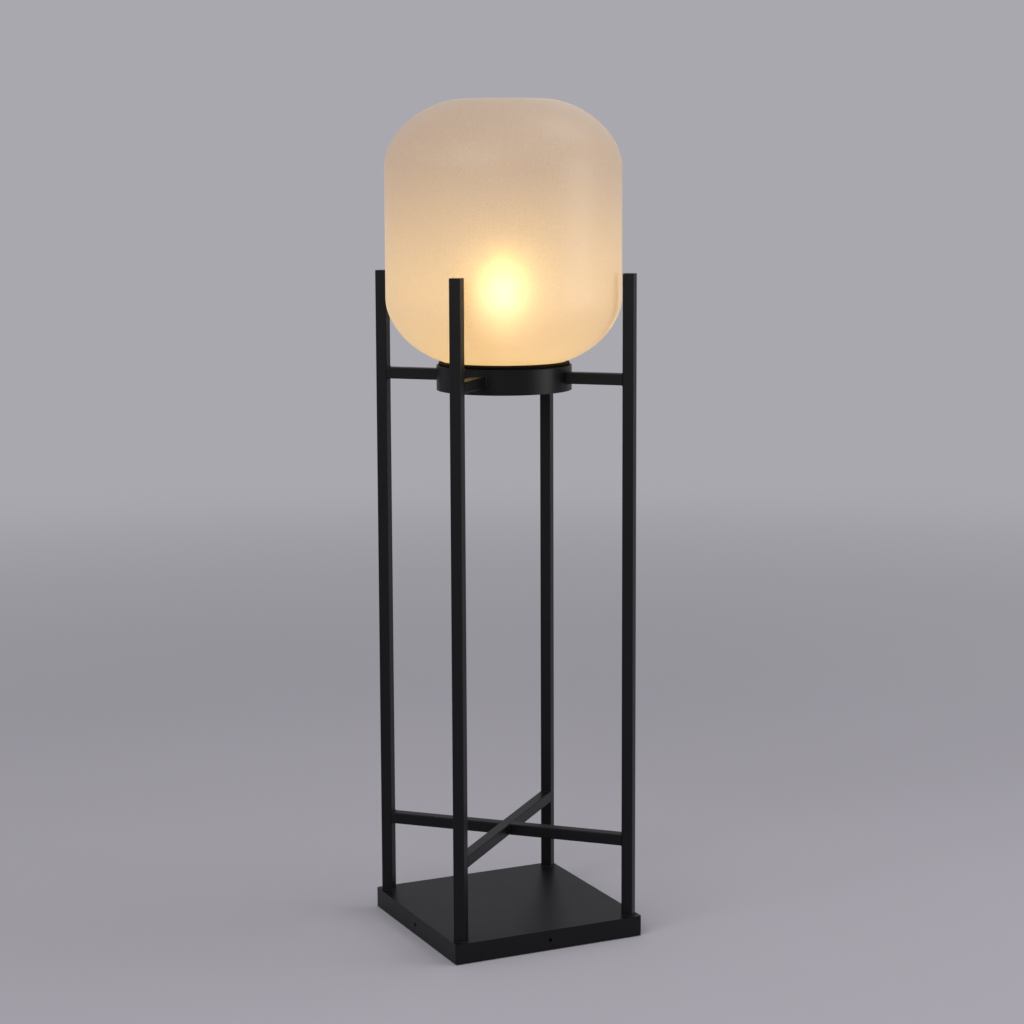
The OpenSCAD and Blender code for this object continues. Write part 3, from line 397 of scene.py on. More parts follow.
def turned(tree, section, steps, around):
    """A skin turned about Z. section takes the share along a stretch and the angle about Z, and returns each
    stretch's radius and height. The stretches run from the top, down outside and back up inside."""
    index = add(tree, "GeometryNodeInputIndex")
    columns = around + 1
    row = formula(tree, "floor((index + 0.5) / columns)", index=index, columns=columns)
    angle = formula(tree, "(index - row * columns) * turn", index=index, row=row, columns=columns, turn=tau / around)
    run = formula(tree, "row / steps", row=row, steps=steps)
    last = add(tree, "ShaderNodeMath", {0: formula(tree, "floor(run)", run=run)}, operation="MINIMUM")
    stretches = section(formula(tree, "run - last", run=run, last=last), angle)
    last.inputs[1].default_value = len(stretches) - 1
    picks = []
    for values in zip(*stretches):
        pick = add(tree, "GeometryNodeIndexSwitch", data_type="FLOAT")
        while len(pick.index_switch_items) < len(values):
            pick.index_switch_items.new()
        for i, value in enumerate((last, *values)):
            feed(tree, pick.inputs[i], value)
        picks.append(pick)
    radius, height = picks
    x = formula(tree, "radius * cosine(angle)", radius=radius, angle=angle)
    y = formula(tree, "radius * sine(angle)", radius=radius, angle=angle)
    place = add(tree, "ShaderNodeCombineXYZ", {"X": x, "Y": y, "Z": height})
    grid = add(tree, "GeometryNodeMeshGrid", {"Vertices X": steps * len(stretches) + 1, "Vertices Y": columns})
    bent = add(tree, "GeometryNodeSetPosition", {"Geometry": grid, "Position": place})
    return add(tree, "GeometryNodeMergeByDistance", {"Geometry": bent, "Distance": SAME_POINT})


def path(tree, share, *points):
    """The straight stretches from each point of a section to the next."""
    return [
        tuple(formula(tree, "a + (b - a) * share", a=a, b=b, share=share) for a, b in zip(start, end))
        for start, end in zip(points, points[1:])
    ]


def grow(name, tree, finish, sizes, points=((0, 0, 0),), edges=(), facing=None):
    """Runs a tree on bare points or lines, and returns the result as a plain piece. facing gives each point's way."""
    seed = bpy.data.meshes.new(name)
    seed.from_pydata([tuple(p) for p in points], list(edges), [])
    if facing:
        ways = seed.attributes.new("facing", "FLOAT_VECTOR", "POINT")
        ways.data.foreach_set("vector", [c for way in facing for c in way])
    piece = bpy.data.objects.new(name, seed)
    bpy.context.scene.collection.objects.link(piece)
    modifier = piece.modifiers.new("Shape", "NODES")
    modifier.node_group = tree
    keys = {item.name: item.identifier for item in tree.interface.items_tree if item.in_out == "INPUT"}
    for size, value in sizes.items():
        modifier[keys[size]] = value
    modifier[keys["Finish"]] = finish
    bpy.context.view_layer.update()
    made = bpy.data.meshes.new_from_object(piece.evaluated_get(bpy.context.evaluated_depsgraph_get()))
    piece.modifiers.remove(modifier)
    piece.data = made
    bpy.data.meshes.remove(seed)
    return piece


def fit(piece, body, slot, *nodes):
    """Hangs a finished piece on its body, and puts it in the place of the nodes that it stands for."""
    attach(piece, body)
    if nodes:
        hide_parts(*nodes)


def on_diagonal(degrees, u, v, z):
    """A point at u along a diagonal and v across it."""
    c, s = cos(radians(degrees)), sin(radians(degrees))
    return (u * c - v * s, u * s + v * c, z)


# ---- Trees


def glass_tree():
    """The blown glass: flat top, rounded edge, straight side, rounded edge, neck, and the same again inside."""
    sizes = ("Radius", "Bottom", "Top", "Reach", "Rise", "Fullness", "Wall", "Neck Radius", "Neck Bottom", "Fillet")
    tree, given, work = shape_tree("Blown glass", *sizes, finishes=("Finish", "Inner Finish"))
    radius, bottom, top, reach, rise, neck = (given[size] for size in (*sizes[:5], "Neck Radius"))
    quarter = pi / 2

    def edge(share, its_reach, its_rise, start, end, flat_z, way):
        """A stretch of a rounded edge, part of a superellipse, from one of its angles to another."""
        a = work("start + (end - start) * share", start=start, end=end, share=share)
        return (
            work("radius - reach + its_reach * cosine(a) ** (2 / fullness)", its_reach=its_reach, a=a),
            work(
                "flat_z + way * its_rise * (1 - sine(a) ** (2 / fullness))",
                flat_z=flat_z,
                way=way,
                its_rise=its_rise,
                a=a,
            ),
        )

    def height_at(r, flat_z, its_reach, its_rise):
        """The height of the lower edge at a radius."""
        return work(
            "flat_z + its_rise * (1 - (1 - ((r - radius + reach) / its_reach) ** fullness) ** (1 / fullness))",
            flat_z=flat_z,
            its_rise=its_rise,
            r=r,
            its_reach=its_reach,
        )

    def angle_at(r, its_reach):
        """The angle of an edge at a radius."""
        return work("arccosine(((r - radius + reach) / its_reach) ** (fullness / 2))", r=r, its_reach=its_reach)

    flat, upper, lower, rim = (
        work(text) for text in ("radius - reach", "top - rise", "bottom + rise", "neck_bottom + wall / 2")
    )

    def outside(share, angle):
        corner_r = work("neck_radius + fillet")
        corner_z = height_at(corner_r, bottom, reach, rise)
        return [
            *path(tree, share, (0.0, top), (flat, top)),
            edge(share, reach, rise, quarter, 0.0, top, -1),
            *path(tree, share, (radius, upper), (radius, lower)),
            edge(share, reach, rise, 0.0, angle_at(corner_r, reach), bottom, 1),
            (
                work("neck_radius + fillet * (1 - share) ** 2", share=share),
                work("z - fillet * share ** 2", z=corner_z, share=share),
            ),
            *path(tree, share, (neck, work("z - fillet", z=corner_z)), (neck, rim)),
            (
                work("neck_radius - wall / 2 + wall / 2 * cosine(share * tau / 2)", share=share),
                work("rim - wall / 2 * sine(share * tau / 2)", rim=rim, share=share),
            ),
        ]

    def inside(share, angle):
        in_reach, in_rise, in_radius, in_neck = (
            work(f"{size} - wall") for size in ("reach", "rise", "radius", "neck_radius")
        )
        in_top, in_bottom = work("top - wall"), work("bottom + wall")
        return [
            *path(tree, share, (in_neck, rim), (in_neck, height_at(in_neck, in_bottom, in_reach, in_rise))),
            edge(share, in_reach, in_rise, angle_at(in_neck, in_reach), 0.0, in_bottom, 1),
            *path(tree, share, (in_radius, lower), (in_radius, upper)),
            edge(share, in_reach, in_rise, 0.0, quarter, in_top, -1),
            *path(tree, share, (flat, in_top), (0.0, in_top)),
        ]

    parts = add(tree, "GeometryNodeJoinGeometry")
    for section, finish in ((inside, "Inner Finish"), (outside, "Finish")):
        skin = turned(tree, section, steps=20, around=144)
        made = add(tree, "GeometryNodeSetMaterial", {"Geometry": skin, "Material": given[finish]})
        feed(tree, parts.inputs[0], made)
    close_tree(tree, add(tree, "GeometryNodeMergeByDistance", {"Geometry": parts, "Distance": SAME_POINT}))
    return tree


SCREW_SIZES = (
    "Crown Radius", "Rim Radius", "Rim Top", "Rim Foot", "Neck", "Radius",
    "Length", "Pitch", "Depth", "Socket", "Socket Depth", "Tip",
)
# Each screw's sizes in mm, in the same order. Heights count from its face.
SCREWS = {
    "set_screws": (1.55, 2, -0.35, -0.4, -0.5, 2, 8, 0.7, 0.3, 2, 2, 0.6),
    "weight_screws": (4.7, 5, -0.15, -0.3, -2.5, 2.5, 10.4, 0.8, 0.35, 3, 2, 0.6),
    "strap_screws": (2.6, 4, -0.88, -2.2, -2.2, 2, 9.2, 0.7, 0.28, 2.4, 1.32, 0.3),
    "lampholder_screws": (1.95, 2.7, -0.72, -1.8, -1.8, 1.5, 9.8, 0.525, 0.21, 1.8, 1.08, 0.3),
    "clamp_screw": (2.1, 2.7, -0.7, -1.8, -1.8, 1.5, 15.5, 0.5, 0.2, 1.9, 1.1, 0.3),
}


def screw_tree():
    """A hexagon socket screw at each point, its head towards facing and its face at the point."""
    tree, given, work = shape_tree("Socket screw", *SCREW_SIZES)
    radius, shoulder, end = given["Radius"], work("tip - length"), work("0 - length")

    def head(share, angle):
        wall = work("socket / 2 / cosine(wrap(angle, high, low))", angle=angle, high=pi / 6, low=-pi / 6)
        return path(
            tree,
            share,
            (0.0, work("0 - socket_depth * 1.15")),
            (wall, work("0 - socket_depth")),
            (wall, 0.0),
            (given["Crown Radius"], 0.0),
            (given["Rim Radius"], given["Rim Top"]),
            (given["Rim Radius"], given["Rim Foot"]),
            (radius, given["Neck"]),
        )

    def shank(share, angle):
        z = work("neck + (shoulder - neck) * share", shoulder=shoulder, share=share)
        fade = work("minimum(1, 2 * minimum(neck - z, z - shoulder) / pitch)", z=z, shoulder=shoulder)
        r = work("radius - depth * fade * (0.5 + 0.5 * cosine(tau * z / pitch - angle))", fade=fade, z=z, angle=angle)
        return [(r, z)]

    def tip(share, angle):
        return path(tree, share, (radius, shoulder), (work("radius - tip"), end), (0.0, end))

    parts = add(tree, "GeometryNodeJoinGeometry")
    for part, steps in ((tip, 1), (shank, 84), (head, 1)):
        feed(tree, parts.inputs[0], turned(tree, part, steps, around=24))
    whole = add(tree, "GeometryNodeMergeByDistance", {"Geometry": parts, "Distance": SAME_POINT})
    facing = add(tree, "GeometryNodeInputNamedAttribute", {"Name": "facing"}, data_type="FLOAT_VECTOR")
    turn = add(tree, "FunctionNodeAlignRotationToVector", {"Vector": facing}, axis="Z")
    seats = {"Points": given["Seed"], "Instance": whole, "Rotation": turn}
    close_tree(tree, add(tree, "GeometryNodeInstanceOnPoints", seats), given)
    return tree


def shell_tree():
    """A thin shell with a rolled thread: a drawn-in foot, the thread, a plain collar and a rolled rim."""
    sizes = ("Radius", "Depth", "Pitch", "Wall", "Foot Radius", "Foot", "Thread Foot", "Thread Top", "Top")
    tree, given, work = shape_tree("Rolled shell", *sizes)
    radius, wall, foot_radius, foot, thread_foot, thread_top, top = (given[s] for s in (sizes[0], *sizes[3:]))
    in_radius, in_foot = work("radius - wall"), work("foot_radius - wall")
    rim = (work("radius - wall / 2"), work("top + wall / 2"))

    def section(share, angle):
        def thread(start, end, inwards):
            """A stretch of thread, which fades out at its ends."""
            z = work("start + (end - start) * share", start=start, end=end, share=share)
            fade = work("minimum(1, maximum(0, 2 * minimum(z - thread_foot, thread_top - z) / pitch))", z=z)
            r = work(
                "radius - inwards - depth * fade * (0.5 - 0.5 * cosine(tau * z / pitch - angle))",
                inwards=inwards,
                fade=fade,
                z=z,
                angle=angle,
            )
            return r, z

        return [
            *path(tree, share, rim, (radius, top), (radius, thread_top)),
            thread(thread_top, thread_foot, 0.0),
            *path(tree, share, (radius, thread_foot), (foot_radius, foot), (in_foot, foot), (in_radius, thread_foot)),
            thread(thread_foot, thread_top, wall),
            *path(tree, share, (in_radius, thread_top), (in_radius, top), rim),
        ]

    close_tree(tree, turned(tree, section, steps=40, around=72), given)
    return tree


def pad_tree():
    """A round rubber foot at each point: a rounded edge, and two grooves pressed in its underside."""
    tree, given, work = shape_tree("Foot pad", "Radius", "Height", "Round", "Groove")
    radius, height, groove = given["Radius"], given["Height"], given["Groove"]

    def section(share, angle):
        # Where the grooves' sides and floors turn, as shares of the radius, from the edge inwards.
        turns = [work(f"radius * {way}") for way in (0.76, 0.72, 0.66, 0.62, 0.44, 0.40, 0.34, 0.30)]
        grooves = list(zip(turns, (0.0, groove, groove, 0.0) * 2))
        return [
            *path(tree, share, (0.0, height), (radius, height), (radius, given["Round"])),
            (
                work("radius - round + round * cosine(share * tau / 4)", share=share),
                work("round - round * sine(share * tau / 4)", share=share),
            ),
            *path(tree, share, (work("radius - round"), 0.0), *grooves, (0.0, 0.0)),
        ]

    pad = turned(tree, section, steps=4, around=48)
    close_tree(tree, add(tree, "GeometryNodeInstanceOnPoints", {"Points": given["Seed"], "Instance": pad}), given)
    return tree


def filament_tree():
    """A rod at each point, thicker along its coated length than at the tabs at its ends."""
    tree, given, work = shape_tree("Filament", "Radius", "Length", "Tab Radius", "Tab")
    radius, length, tab_radius, tab = (given[size] for size in ("Radius", "Length", "Tab Radius", "Tab"))

    def section(share, angle):
        return path(
            tree,
            share,
            (0.0, length),
            (tab_radius, length),
            (tab_radius, work("length - tab")),
            (radius, work("length - tab - radius * 0.6")),
            (radius, work("tab + radius * 0.6")),
            (tab_radius, tab),
            (tab_radius, 0.0),
            (0.0, 0.0),
        )

    rod = turned(tree, section, steps=2, around=20)
    close_tree(tree, add(tree, "GeometryNodeInstanceOnPoints", {"Points": given["Seed"], "Instance": rod}), given)
    return tree


def weld_tree():
    """A bead along each line, with the slight ripples that the torch leaves."""
    tree, given, work = shape_tree("Weld bead", "Radius", "Ripple", "Spacing")
    line = add(tree, "GeometryNodeMeshToCurve", {"Mesh": given["Seed"]})
    fine = add(tree, "GeometryNodeResampleCurve", {"Curve": line, "Length": 0.45 * MM}, mode="LENGTH")
    along = add(tree, "GeometryNodeSplineParameter").outputs["Length"]
    width = work("radius * (1 + ripple * sine(tau * along / spacing))", along=along)
    ring = add(tree, "GeometryNodeCurvePrimitiveCircle", {"Resolution": 10, "Radius": 1.0})
    bead = {"Curve": fine, "Profile Curve": ring, "Scale": width, "Fill Caps": True}
    close_tree(tree, add(tree, "GeometryNodeCurveToMesh", bead), given)
    return tree


# ---- What the user may change


class ShadeSettings(bpy.types.PropertyGroup):
    diameter: bpy.props.FloatProperty(
        name="Diameter", description="Outer diameter of the glass", default=0.247, unit="LENGTH"
    )
    height: bpy.props.FloatProperty(
        name="Height", description="From the lowest rounded edge to the top", default=0.275, unit="LENGTH"
    )
    reach: bpy.props.FloatProperty(
        name="Edge reach", description="How far the rounded edges reach in", default=0.081, unit="LENGTH"
    )
    rise: bpy.props.FloatProperty(
        name="Edge height", description="Height of the rounded edges", default=0.069, unit="LENGTH"
    )
    fullness: bpy.props.FloatProperty(
        name="Fullness", description="Fullness of the rounded edges, where 2 is an ellipse", default=1.8
    )
    wall: bpy.props.FloatProperty(name="Wall", description="Thickness of the glass", default=0.003, unit="LENGTH")
    neck: bpy.props.FloatProperty(name="Neck", description="Outer diameter of the neck", default=0.127, unit="LENGTH")


class LookSettings(bpy.types.PropertyGroup):
    coat_code: bpy.props.StringProperty(
        name="Powder coat", description="sRGB hex code of the powder coat", default="#0A090B"
    )
    opal: bpy.props.FloatVectorProperty(
        name="Opal", description="Colour of the glass by daylight", subtype="COLOR", default=colour("#B5AEA2")[:3]
    )
    glow_near: bpy.props.FloatVectorProperty(
        name="Glow near", description="Colour close to the lamp", subtype="COLOR", default=colour("#FFD27E")[:3]
    )
    glow_far: bpy.props.FloatVectorProperty(
        name="Glow far", description="Colour at the top of the glass", subtype="COLOR", default=colour("#FFCBA2")[:3]
    )
    glow_level: bpy.props.FloatProperty(
        name="Glow", description="Strength of the glow level with the lamp", default=0.42
    )
    glow_fall: bpy.props.FloatProperty(name="Fall", description="How fast the glow pales with distance", default=1.9)
    filament: bpy.props.FloatVectorProperty(
        name="Filament", description="Colour of the filaments' light", subtype="COLOR", default=(1.0, 1.0, 1.0)
    )
    filament_level: bpy.props.FloatProperty(
        name="Filament light", description="Strength of the filaments", default=20.0
    )
    glare: bpy.props.FloatVectorProperty(
        name="Glare", description="Colour of the glare in the bulb's glass", subtype="COLOR", default=(1.0, 0.52, 0.13)
    )
    glare_level: bpy.props.FloatProperty(name="Glare light", description="Strength of the glare", default=1.05)
    crown: bpy.props.FloatVectorProperty(
        name="Crown", description="Colour of the glare at the bulb's crown", subtype="COLOR", default=(1.0, 0.72, 0.10)
    )
    crown_gain: bpy.props.FloatProperty(
        name="Crown light", description="How much stronger the glare is at the crown", default=4.5
    )


class WeldSettings(bpy.types.PropertyGroup):
    radius: bpy.props.FloatProperty(name="Bead", description="Radius of the weld beads", default=0.0008, unit="LENGTH")
    spacing: bpy.props.FloatProperty(
        name="Ripples", description="Distance between ripples", default=0.0016, unit="LENGTH"
    )


class StudioSettings(bpy.types.PropertyGroup):
    floor: bpy.props.FloatVectorProperty(
        name="Floor", description="Colour of the floor", subtype="COLOR", default=colour("#B7B4BE")[:3]
    )
    backdrop: bpy.props.FloatVectorProperty(
        name="Backdrop", description="Colour behind the lamp", subtype="COLOR", default=colour("#A9A8AE")[:3]
    )
    sky: bpy.props.FloatProperty(name="Sky", description="Even light from all round", default=0.40)
    key: bpy.props.FloatProperty(name="Key light", description="Power of the large light", default=42.0, unit="POWER")
    fill: bpy.props.FloatProperty(
        name="Fill light", description="Power of the light on the right", default=31.0, unit="POWER"
    )
    top: bpy.props.FloatProperty(name="Top light", description="Power of the light overhead", default=9.0, unit="POWER")


# ---- Pieces


class LAMP_OT_studio(bpy.types.Operator):
    """Sets the floor, the backdrop, the lights and the camera"""

    bl_idname = "lamp.studio"
    bl_label = "Studio"

    def execute(self, context):
        scene = context.scene
        look = scene.lamp_studio
        scene.view_settings.view_transform = "Standard"

        # Where the photograph was taken from, fitted to the edges of the posts, base, ring and glass.
        distance, height = 2.464, 0.8215
        azimuth, heading, pitch, roll = (radians(a) for a in (-25.04, -25.222, 7.637, -0.236))
        forward = Vector((-sin(heading) * cos(pitch), cos(heading) * cos(pitch), -sin(pitch)))
        level = Vector((cos(heading), sin(heading), 0))
        raised = level.cross(forward)
        right = cos(roll) * level + sin(roll) * raised
        up = -sin(roll) * level + cos(roll) * raised
        lens = bpy.data.cameras.new("camera")
        lens.lens, lens.sensor_width, lens.shift_y = 82.85, 36, -0.04
        camera = bpy.data.objects.new("camera", lens)
        scene.collection.objects.link(camera)
        stand = Matrix.Translation((sin(azimuth) * distance, -cos(azimuth) * distance, height))
        camera.matrix_world = stand @ Matrix((right, up, -forward)).transposed().to_4x4()
        scene.camera = camera

        # Square soft boxes, all turned to the middle of the lamp.
        middle = Vector((0, 0, 0.45))
        for name, power, size, at in (
            ("key", look.key, 2.3, (-2.1, -1.5, 2.0)),
            ("fill", look.fill, 1.6, (2.3, -1.95, 0.8)),
            ("top", look.top, 1.1, (1.2, -0.3, 2.5)),
        ):
            lamp = bpy.data.lights.new(name, "AREA")
            lamp.energy, lamp.size = power, size
            light = bpy.data.objects.new(name, lamp)
            scene.collection.objects.link(light)
            light.location = at
            light.rotation_euler = (middle - Vector(at)).to_track_quat("-Z", "Y").to_euler()

        scene.world = bpy.data.worlds.new("studio")
        scene.world.use_nodes = True
        tree = scene.world.node_tree
        tree.nodes.clear()
        backdrop, even = [*look.backdrop, 1], [look.sky] * 3 + [1]
        sky = add(tree, "ShaderNodeMix", {0: seen_only(tree), 6: even, 7: backdrop}, data_type="RGBA")
        add(tree, "ShaderNodeOutputWorld", {"Surface": add(tree, "ShaderNodeBackground", {"Color": sky.outputs[2]})})

        # Seamless paper: pale, matt and faintly clouded.
        material, tree = new_finish("paper_floor")
        place = add(tree, "ShaderNodeTexCoord").outputs["Object"]
        cloud = add(tree, "ShaderNodeTexNoise", {"Vector": place, "Scale": 2.5, "Detail": 2.0})
        clouded, pale = ([c * share for c in look.floor] + [1] for share in (0.97, 1))
        tint = add(tree, "ShaderNodeMix", {0: cloud, 6: clouded, 7: pale}, data_type="RGBA")
        matt = {"Base Color": tint.outputs[2], "Roughness": 0.85, "Specular IOR Level": 0.2}
        paper = add(tree, "ShaderNodeBsdfPrincipled", matt)
        # Further off it runs out into the backdrop, to whatever looks at it.
        away = add(tree, "ShaderNodeVectorMath", {0: place}, operation="LENGTH").outputs["Value"]
        faded = formula(
            tree,
            "seen * smooth_min(1, maximum(0, (away - near) / reach), 0.2)",
            seen=seen_only(tree),
            away=away,
            near=1.1,
            reach=2.2,
        )
        far = add(tree, "ShaderNodeEmission", {"Color": backdrop, "Strength": 1.0})
        surface = add(tree, "ShaderNodeMixShader", {0: faded, 1: paper, 2: far})
        add(tree, "ShaderNodeOutputMaterial", {"Surface": surface})
        extent = 12
        rim = [(extent * cos(radians(a)), extent * sin(radians(a)), 0) for a in range(0, 360, 4)]
        mesh = bpy.data.meshes.new("floor")
        mesh.from_pydata(rim, [], [list(range(len(rim)))])
        mesh.materials.append(material)
        floor = bpy.data.objects.new("floor", mesh)
        scene.collection.objects.link(floor)
        return {"FINISHED"}


class LAMP_OT_finishes(bpy.types.Operator):
    """Makes the finishes and gives them to the parts that keep their shape"""

    bl_idname = "lamp.finishes"
    bl_label = "Finishes"

    def execute(self, context):
        make_finishes(context.scene.lamp_look)
        for name, node in cad.items():
            slot = node.data.materials[0].name.split(".")[0]
            node.data.materials[0] = finishes[OWN_FINISH.get(name, slot)]
        return {"FINISHED"}


class LAMP_OT_glass(bpy.types.Operator):
    """Blows the glass shade, seated in its gallery"""

    bl_idname = "lamp.glass"
    bl_label = "Glass shade"

    def execute(self, context):
        look = context.scene.lamp_shade
        low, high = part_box("glass_shade")
        glass = grow(
            "glass",
            glass_tree(),
            finishes["opal_glass"],
            {
                "Radius": look.diameter / 2,
                "Bottom": high.z - look.height,
                "Top": high.z,
                "Reach": look.reach,
                "Rise": look.rise,
                "Fullness": look.fullness,
                "Wall": look.wall,
                "Neck Radius": look.neck / 2,
                "Neck Bottom": low.z,
                "Fillet": 1.3 * MM,
                "Inner Finish": finishes["opal_glass_inside"],
            },
        )
        fit(glass, "shade", "opal_glass", "glass_shade")
        return {"FINISHED"}


class LAMP_OT_welds(bpy.types.Operator):
    """Lays the weld beads where the posts, arms, brace and ring meet"""

    bl_idname = "lamp.welds"
    bl_label = "Welds"

    def execute(self, context):
        look = context.scene.lamp_weld
        half = TUBE / 2
        face = POST_U - half
        points, edges = [], []

        def bead(line, closed=False):
            first = len(points)
            points.extend(line)
            edges.extend((first + i, first + i + 1) for i in range(len(line) - 1))
            if closed:
                edges.append((len(points) - 1, first))

        # Along the flat of a tube's face, and across and down the end of an arm.
        flat = (-half + TUBE_CORNER, 0, half - TUBE_CORNER)
        across = [half * i / 4 for i in range(-4, 5)]
        down = [half * i / 2 for i in (1, 0, -1)]
        for angle in DIAGONALS:
            # Round the foot of the post.
            corner, loop = half - TUBE_CORNER, []
            for quarter, (su, sv) in enumerate(((1, 1), (-1, 1), (-1, -1), (1, -1))):
                for step in range(5):
                    a = radians(90 * quarter + 22.5 * step)
                    loop.append((POST_U + su * corner + TUBE_CORNER * cos(a), sv * corner + TUBE_CORNER * sin(a)))
            bead([on_diagonal(angle, u, v, BASE_TOP) for u, v in loop], closed=True)
            # Over and under each arm and brace bar at the post. Their sides are flush, and ground off.
            for z in (ARM_Z - half, ARM_Z + half, BRACE_Z - half, BRACE_Z + half):
                bead([on_diagonal(angle, face, v, z) for v in flat])
            # Round the arm where it meets the ring.
            saddle = [(v, half) for v in across] + [(half, z) for z in down]
            saddle += [(-v, -z) for v, z in saddle]
            bead([on_diagonal(angle, sqrt(RING_R**2 - v * v), v, ARM_Z + z) for v, z in saddle], closed=True)
        # In the four upright corners of the brace, whose bars are flush above and below.
        for angle in DIAGONALS:
            bead([on_diagonal(angle, half, half, BRACE_Z + z) for z in flat])
        sizes = {"Radius": look.radius, "Ripple": 0.12, "Spacing": look.spacing}
        welds = grow("welds", weld_tree(), finishes["powder_black"], sizes, points, edges)
        fit(welds, "frame", "powder_black")
        return {"FINISHED"}


class LAMP_OT_screws(bpy.types.Operator):
    """Turns the screws of the base, the bracket and the lampholder"""

    bl_idname = "lamp.screws"
    bl_label = "Screws"

    def execute(self, context):
        tree = screw_tree()
        low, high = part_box("side_screws")
        reach, level = high.x, (low.z + high.z) / 2
        sides = ((1, 0), (0, 1), (-1, 0), (0, -1))
        head, weight = 5 * MM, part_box("ballast_screws")[1]
        inset = weight.x - head
        strap_half, strap_z = 32 * MM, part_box("bracket_screws")[0].z
        holder_half, holder_z = 12 * MM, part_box("holder_screws")[0].z
        low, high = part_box("block_screw")
        for name, node, finish, places, facing in (
            (
                "set_screws",
                "side_screws",
                "zinc_painted_shade",
                [(reach * x, reach * y, level) for x, y in sides],
                [(x, y, 0) for x, y in sides],
            ),
            (
                "weight_screws",
                "ballast_screws",
                "zinc_steel",
                [(x, y, weight.z) for x in (-inset, inset) for y in (-inset, inset)],
                [(0, 0, 1)] * 4,
            ),
            (
                "strap_screws",
                "bracket_screws",
                "zinc_steel",
                [on_diagonal(45, 0, v, strap_z) for v in (-strap_half, strap_half)],
                [(0, 0, -1)] * 2,
            ),
            (
                "lampholder_screws",
                "holder_screws",
                "zinc_steel",
                [on_diagonal(45, 0, v, holder_z) for v in (-holder_half, holder_half)],
                [(0, 0, -1)] * 2,
            ),
            (
                "clamp_screw",
                "block_screw",
                "zinc_steel",
                [((low.x + high.x) / 2, (low.y + high.y) / 2, high.z)],
                [(0, 0, 1)],
            ),
        ):
            sizes = {size: mm * MM for size, mm in zip(SCREW_SIZES, SCREWS[name])}
            piece = grow(name, tree, finishes[finish], sizes, places, facing=facing)
            fit(piece, "frame", "zinc_steel", node)
        return {"FINISHED"}


class LAMP_OT_feet(bpy.types.Operator):
    """Moulds the four foot pads under the base"""

    bl_idname = "lamp.feet"
    bl_label = "Foot pads"

    def execute(self, context):
        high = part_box("foot_pads")[1]
        radius = 10 * MM
        at = high.x - radius
        sizes = {"Radius": radius, "Height": high.z, "Round": 0.6 * MM, "Groove": 0.4 * MM}
        places = [(x, y, 0) for x in (-at, at) for y in (-at, at)]
        pads = grow("pads", pad_tree(), finishes["pad_rubber"], sizes, places)
        fit(pads, "frame", "pad_rubber", "foot_pads")
        return {"FINISHED"}


class LAMP_OT_holder(bpy.types.Operator):
    """Rolls the threaded brass shell of the lampholder"""

    bl_idname = "lamp.holder"
    bl_label = "Lampholder"

    def execute(self, context):
        low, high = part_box("holder_sleeve")
        shell = grow(
            "screw_shell",
            shell_tree(),
            finishes["brass"],
            {
                "Radius": 14.5 * MM,
                "Depth": 0.8 * MM,
                "Pitch": THREAD_PITCH,
                "Wall": 0.3 * MM,
                "Foot Radius": 9.4 * MM,
                "Foot": low.z + 0.05 * MM,
                "Thread Foot": low.z + 1.5 * MM,
                "Thread Top": high.z - 2 * MM,
                "Top": high.z - 0.2 * MM,
            },
        )
        fit(shell, "frame", "brass", "holder_sleeve")
        return {"FINISHED"}


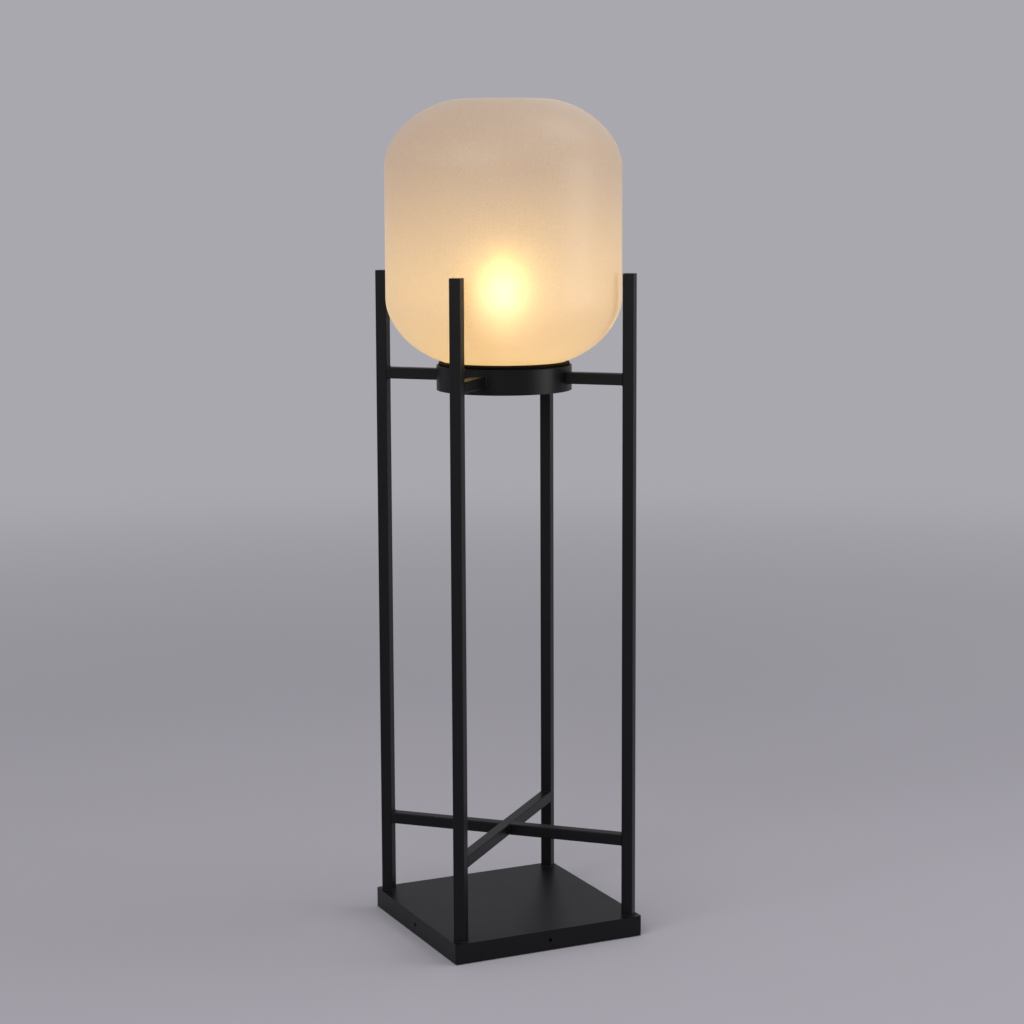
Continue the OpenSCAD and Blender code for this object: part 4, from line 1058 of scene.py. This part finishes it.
class LAMP_OT_bulb(bpy.types.Operator):
    """Rolls the bulb's cap and coats its filaments"""

    bl_idname = "lamp.bulb"
    bl_label = "Bulb"

    def execute(self, context):
        low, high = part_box("bulb_cap")
        cap = grow(
            "screw_cap",
            shell_tree(),
            finishes["cap_nickel"],
            {
                "Radius": 13.2 * MM,
                "Depth": 0.85 * MM,
                "Pitch": THREAD_PITCH,
                "Wall": 0.35 * MM,
                "Foot Radius": 11.8 * MM,
                "Foot": low.z,
                "Thread Foot": low.z + 1.2 * MM,
                "Thread Top": high.z - 7 * MM,
                "Top": high.z - 0.2 * MM,
            },
        )
        fit(cap, "bulb", "cap_nickel", "bulb_cap")
        ring = 9 * MM
        sizes = {
            "Radius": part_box("bulb_filaments")[1].x - ring,
            "Length": FILAMENT_TOP - FILAMENT_FOOT,
            "Tab Radius": 0.45 * MM,
            "Tab": 1.4 * MM,
        }
        places = [(ring * cos(a), ring * sin(a), FILAMENT_FOOT) for a in (0, pi / 2, pi, 3 * pi / 2)]
        rods = grow("filaments", filament_tree(), finishes["filament"], sizes, places)
        fit(rods, "bulb", "filament", "bulb_filaments")
        return {"FINISHED"}


OPERATORS = (
    LAMP_OT_studio,
    LAMP_OT_finishes,
    LAMP_OT_glass,
    LAMP_OT_welds,
    LAMP_OT_screws,
    LAMP_OT_feet,
    LAMP_OT_holder,
    LAMP_OT_bulb,
)
SETTINGS = (
    ("lamp_shade", ShadeSettings),
    ("lamp_look", LookSettings),
    ("lamp_weld", WeldSettings),
    ("lamp_studio", StudioSettings),
)


class LAMP_PT_lantern(bpy.types.Panel):
    """The lamp's pieces, with the sizes and colours that may be changed"""

    bl_idname = "LAMP_PT_lantern"
    bl_label = "Lantern Lamp"
    bl_space_type = "VIEW_3D"
    bl_region_type = "UI"
    bl_category = "Lantern Lamp"

    def draw(self, context):
        for name, group in SETTINGS:
            box = self.layout.box()
            for key in group.__annotations__:
                box.prop(getattr(context.scene, name), key)
        for operator in OPERATORS:
            self.layout.operator(operator.bl_idname)


CLASSES = (*(group for _, group in SETTINGS), *OPERATORS, LAMP_PT_lantern)


def register():
    for cls in CLASSES:
        bpy.utils.register_class(cls)
    for name, group in SETTINGS:
        setattr(bpy.types.Scene, name, bpy.props.PointerProperty(type=group))


def unregister():
    for name, _ in SETTINGS:
        delattr(bpy.types.Scene, name)
    for cls in reversed(CLASSES):
        bpy.utils.unregister_class(cls)


def main():
    register()
    for step in ("studio", "finishes", "glass", "welds", "screws", "feet", "holder", "bulb"):
        getattr(bpy.ops.lamp, step)()


if __name__ == "__main__":
    main()
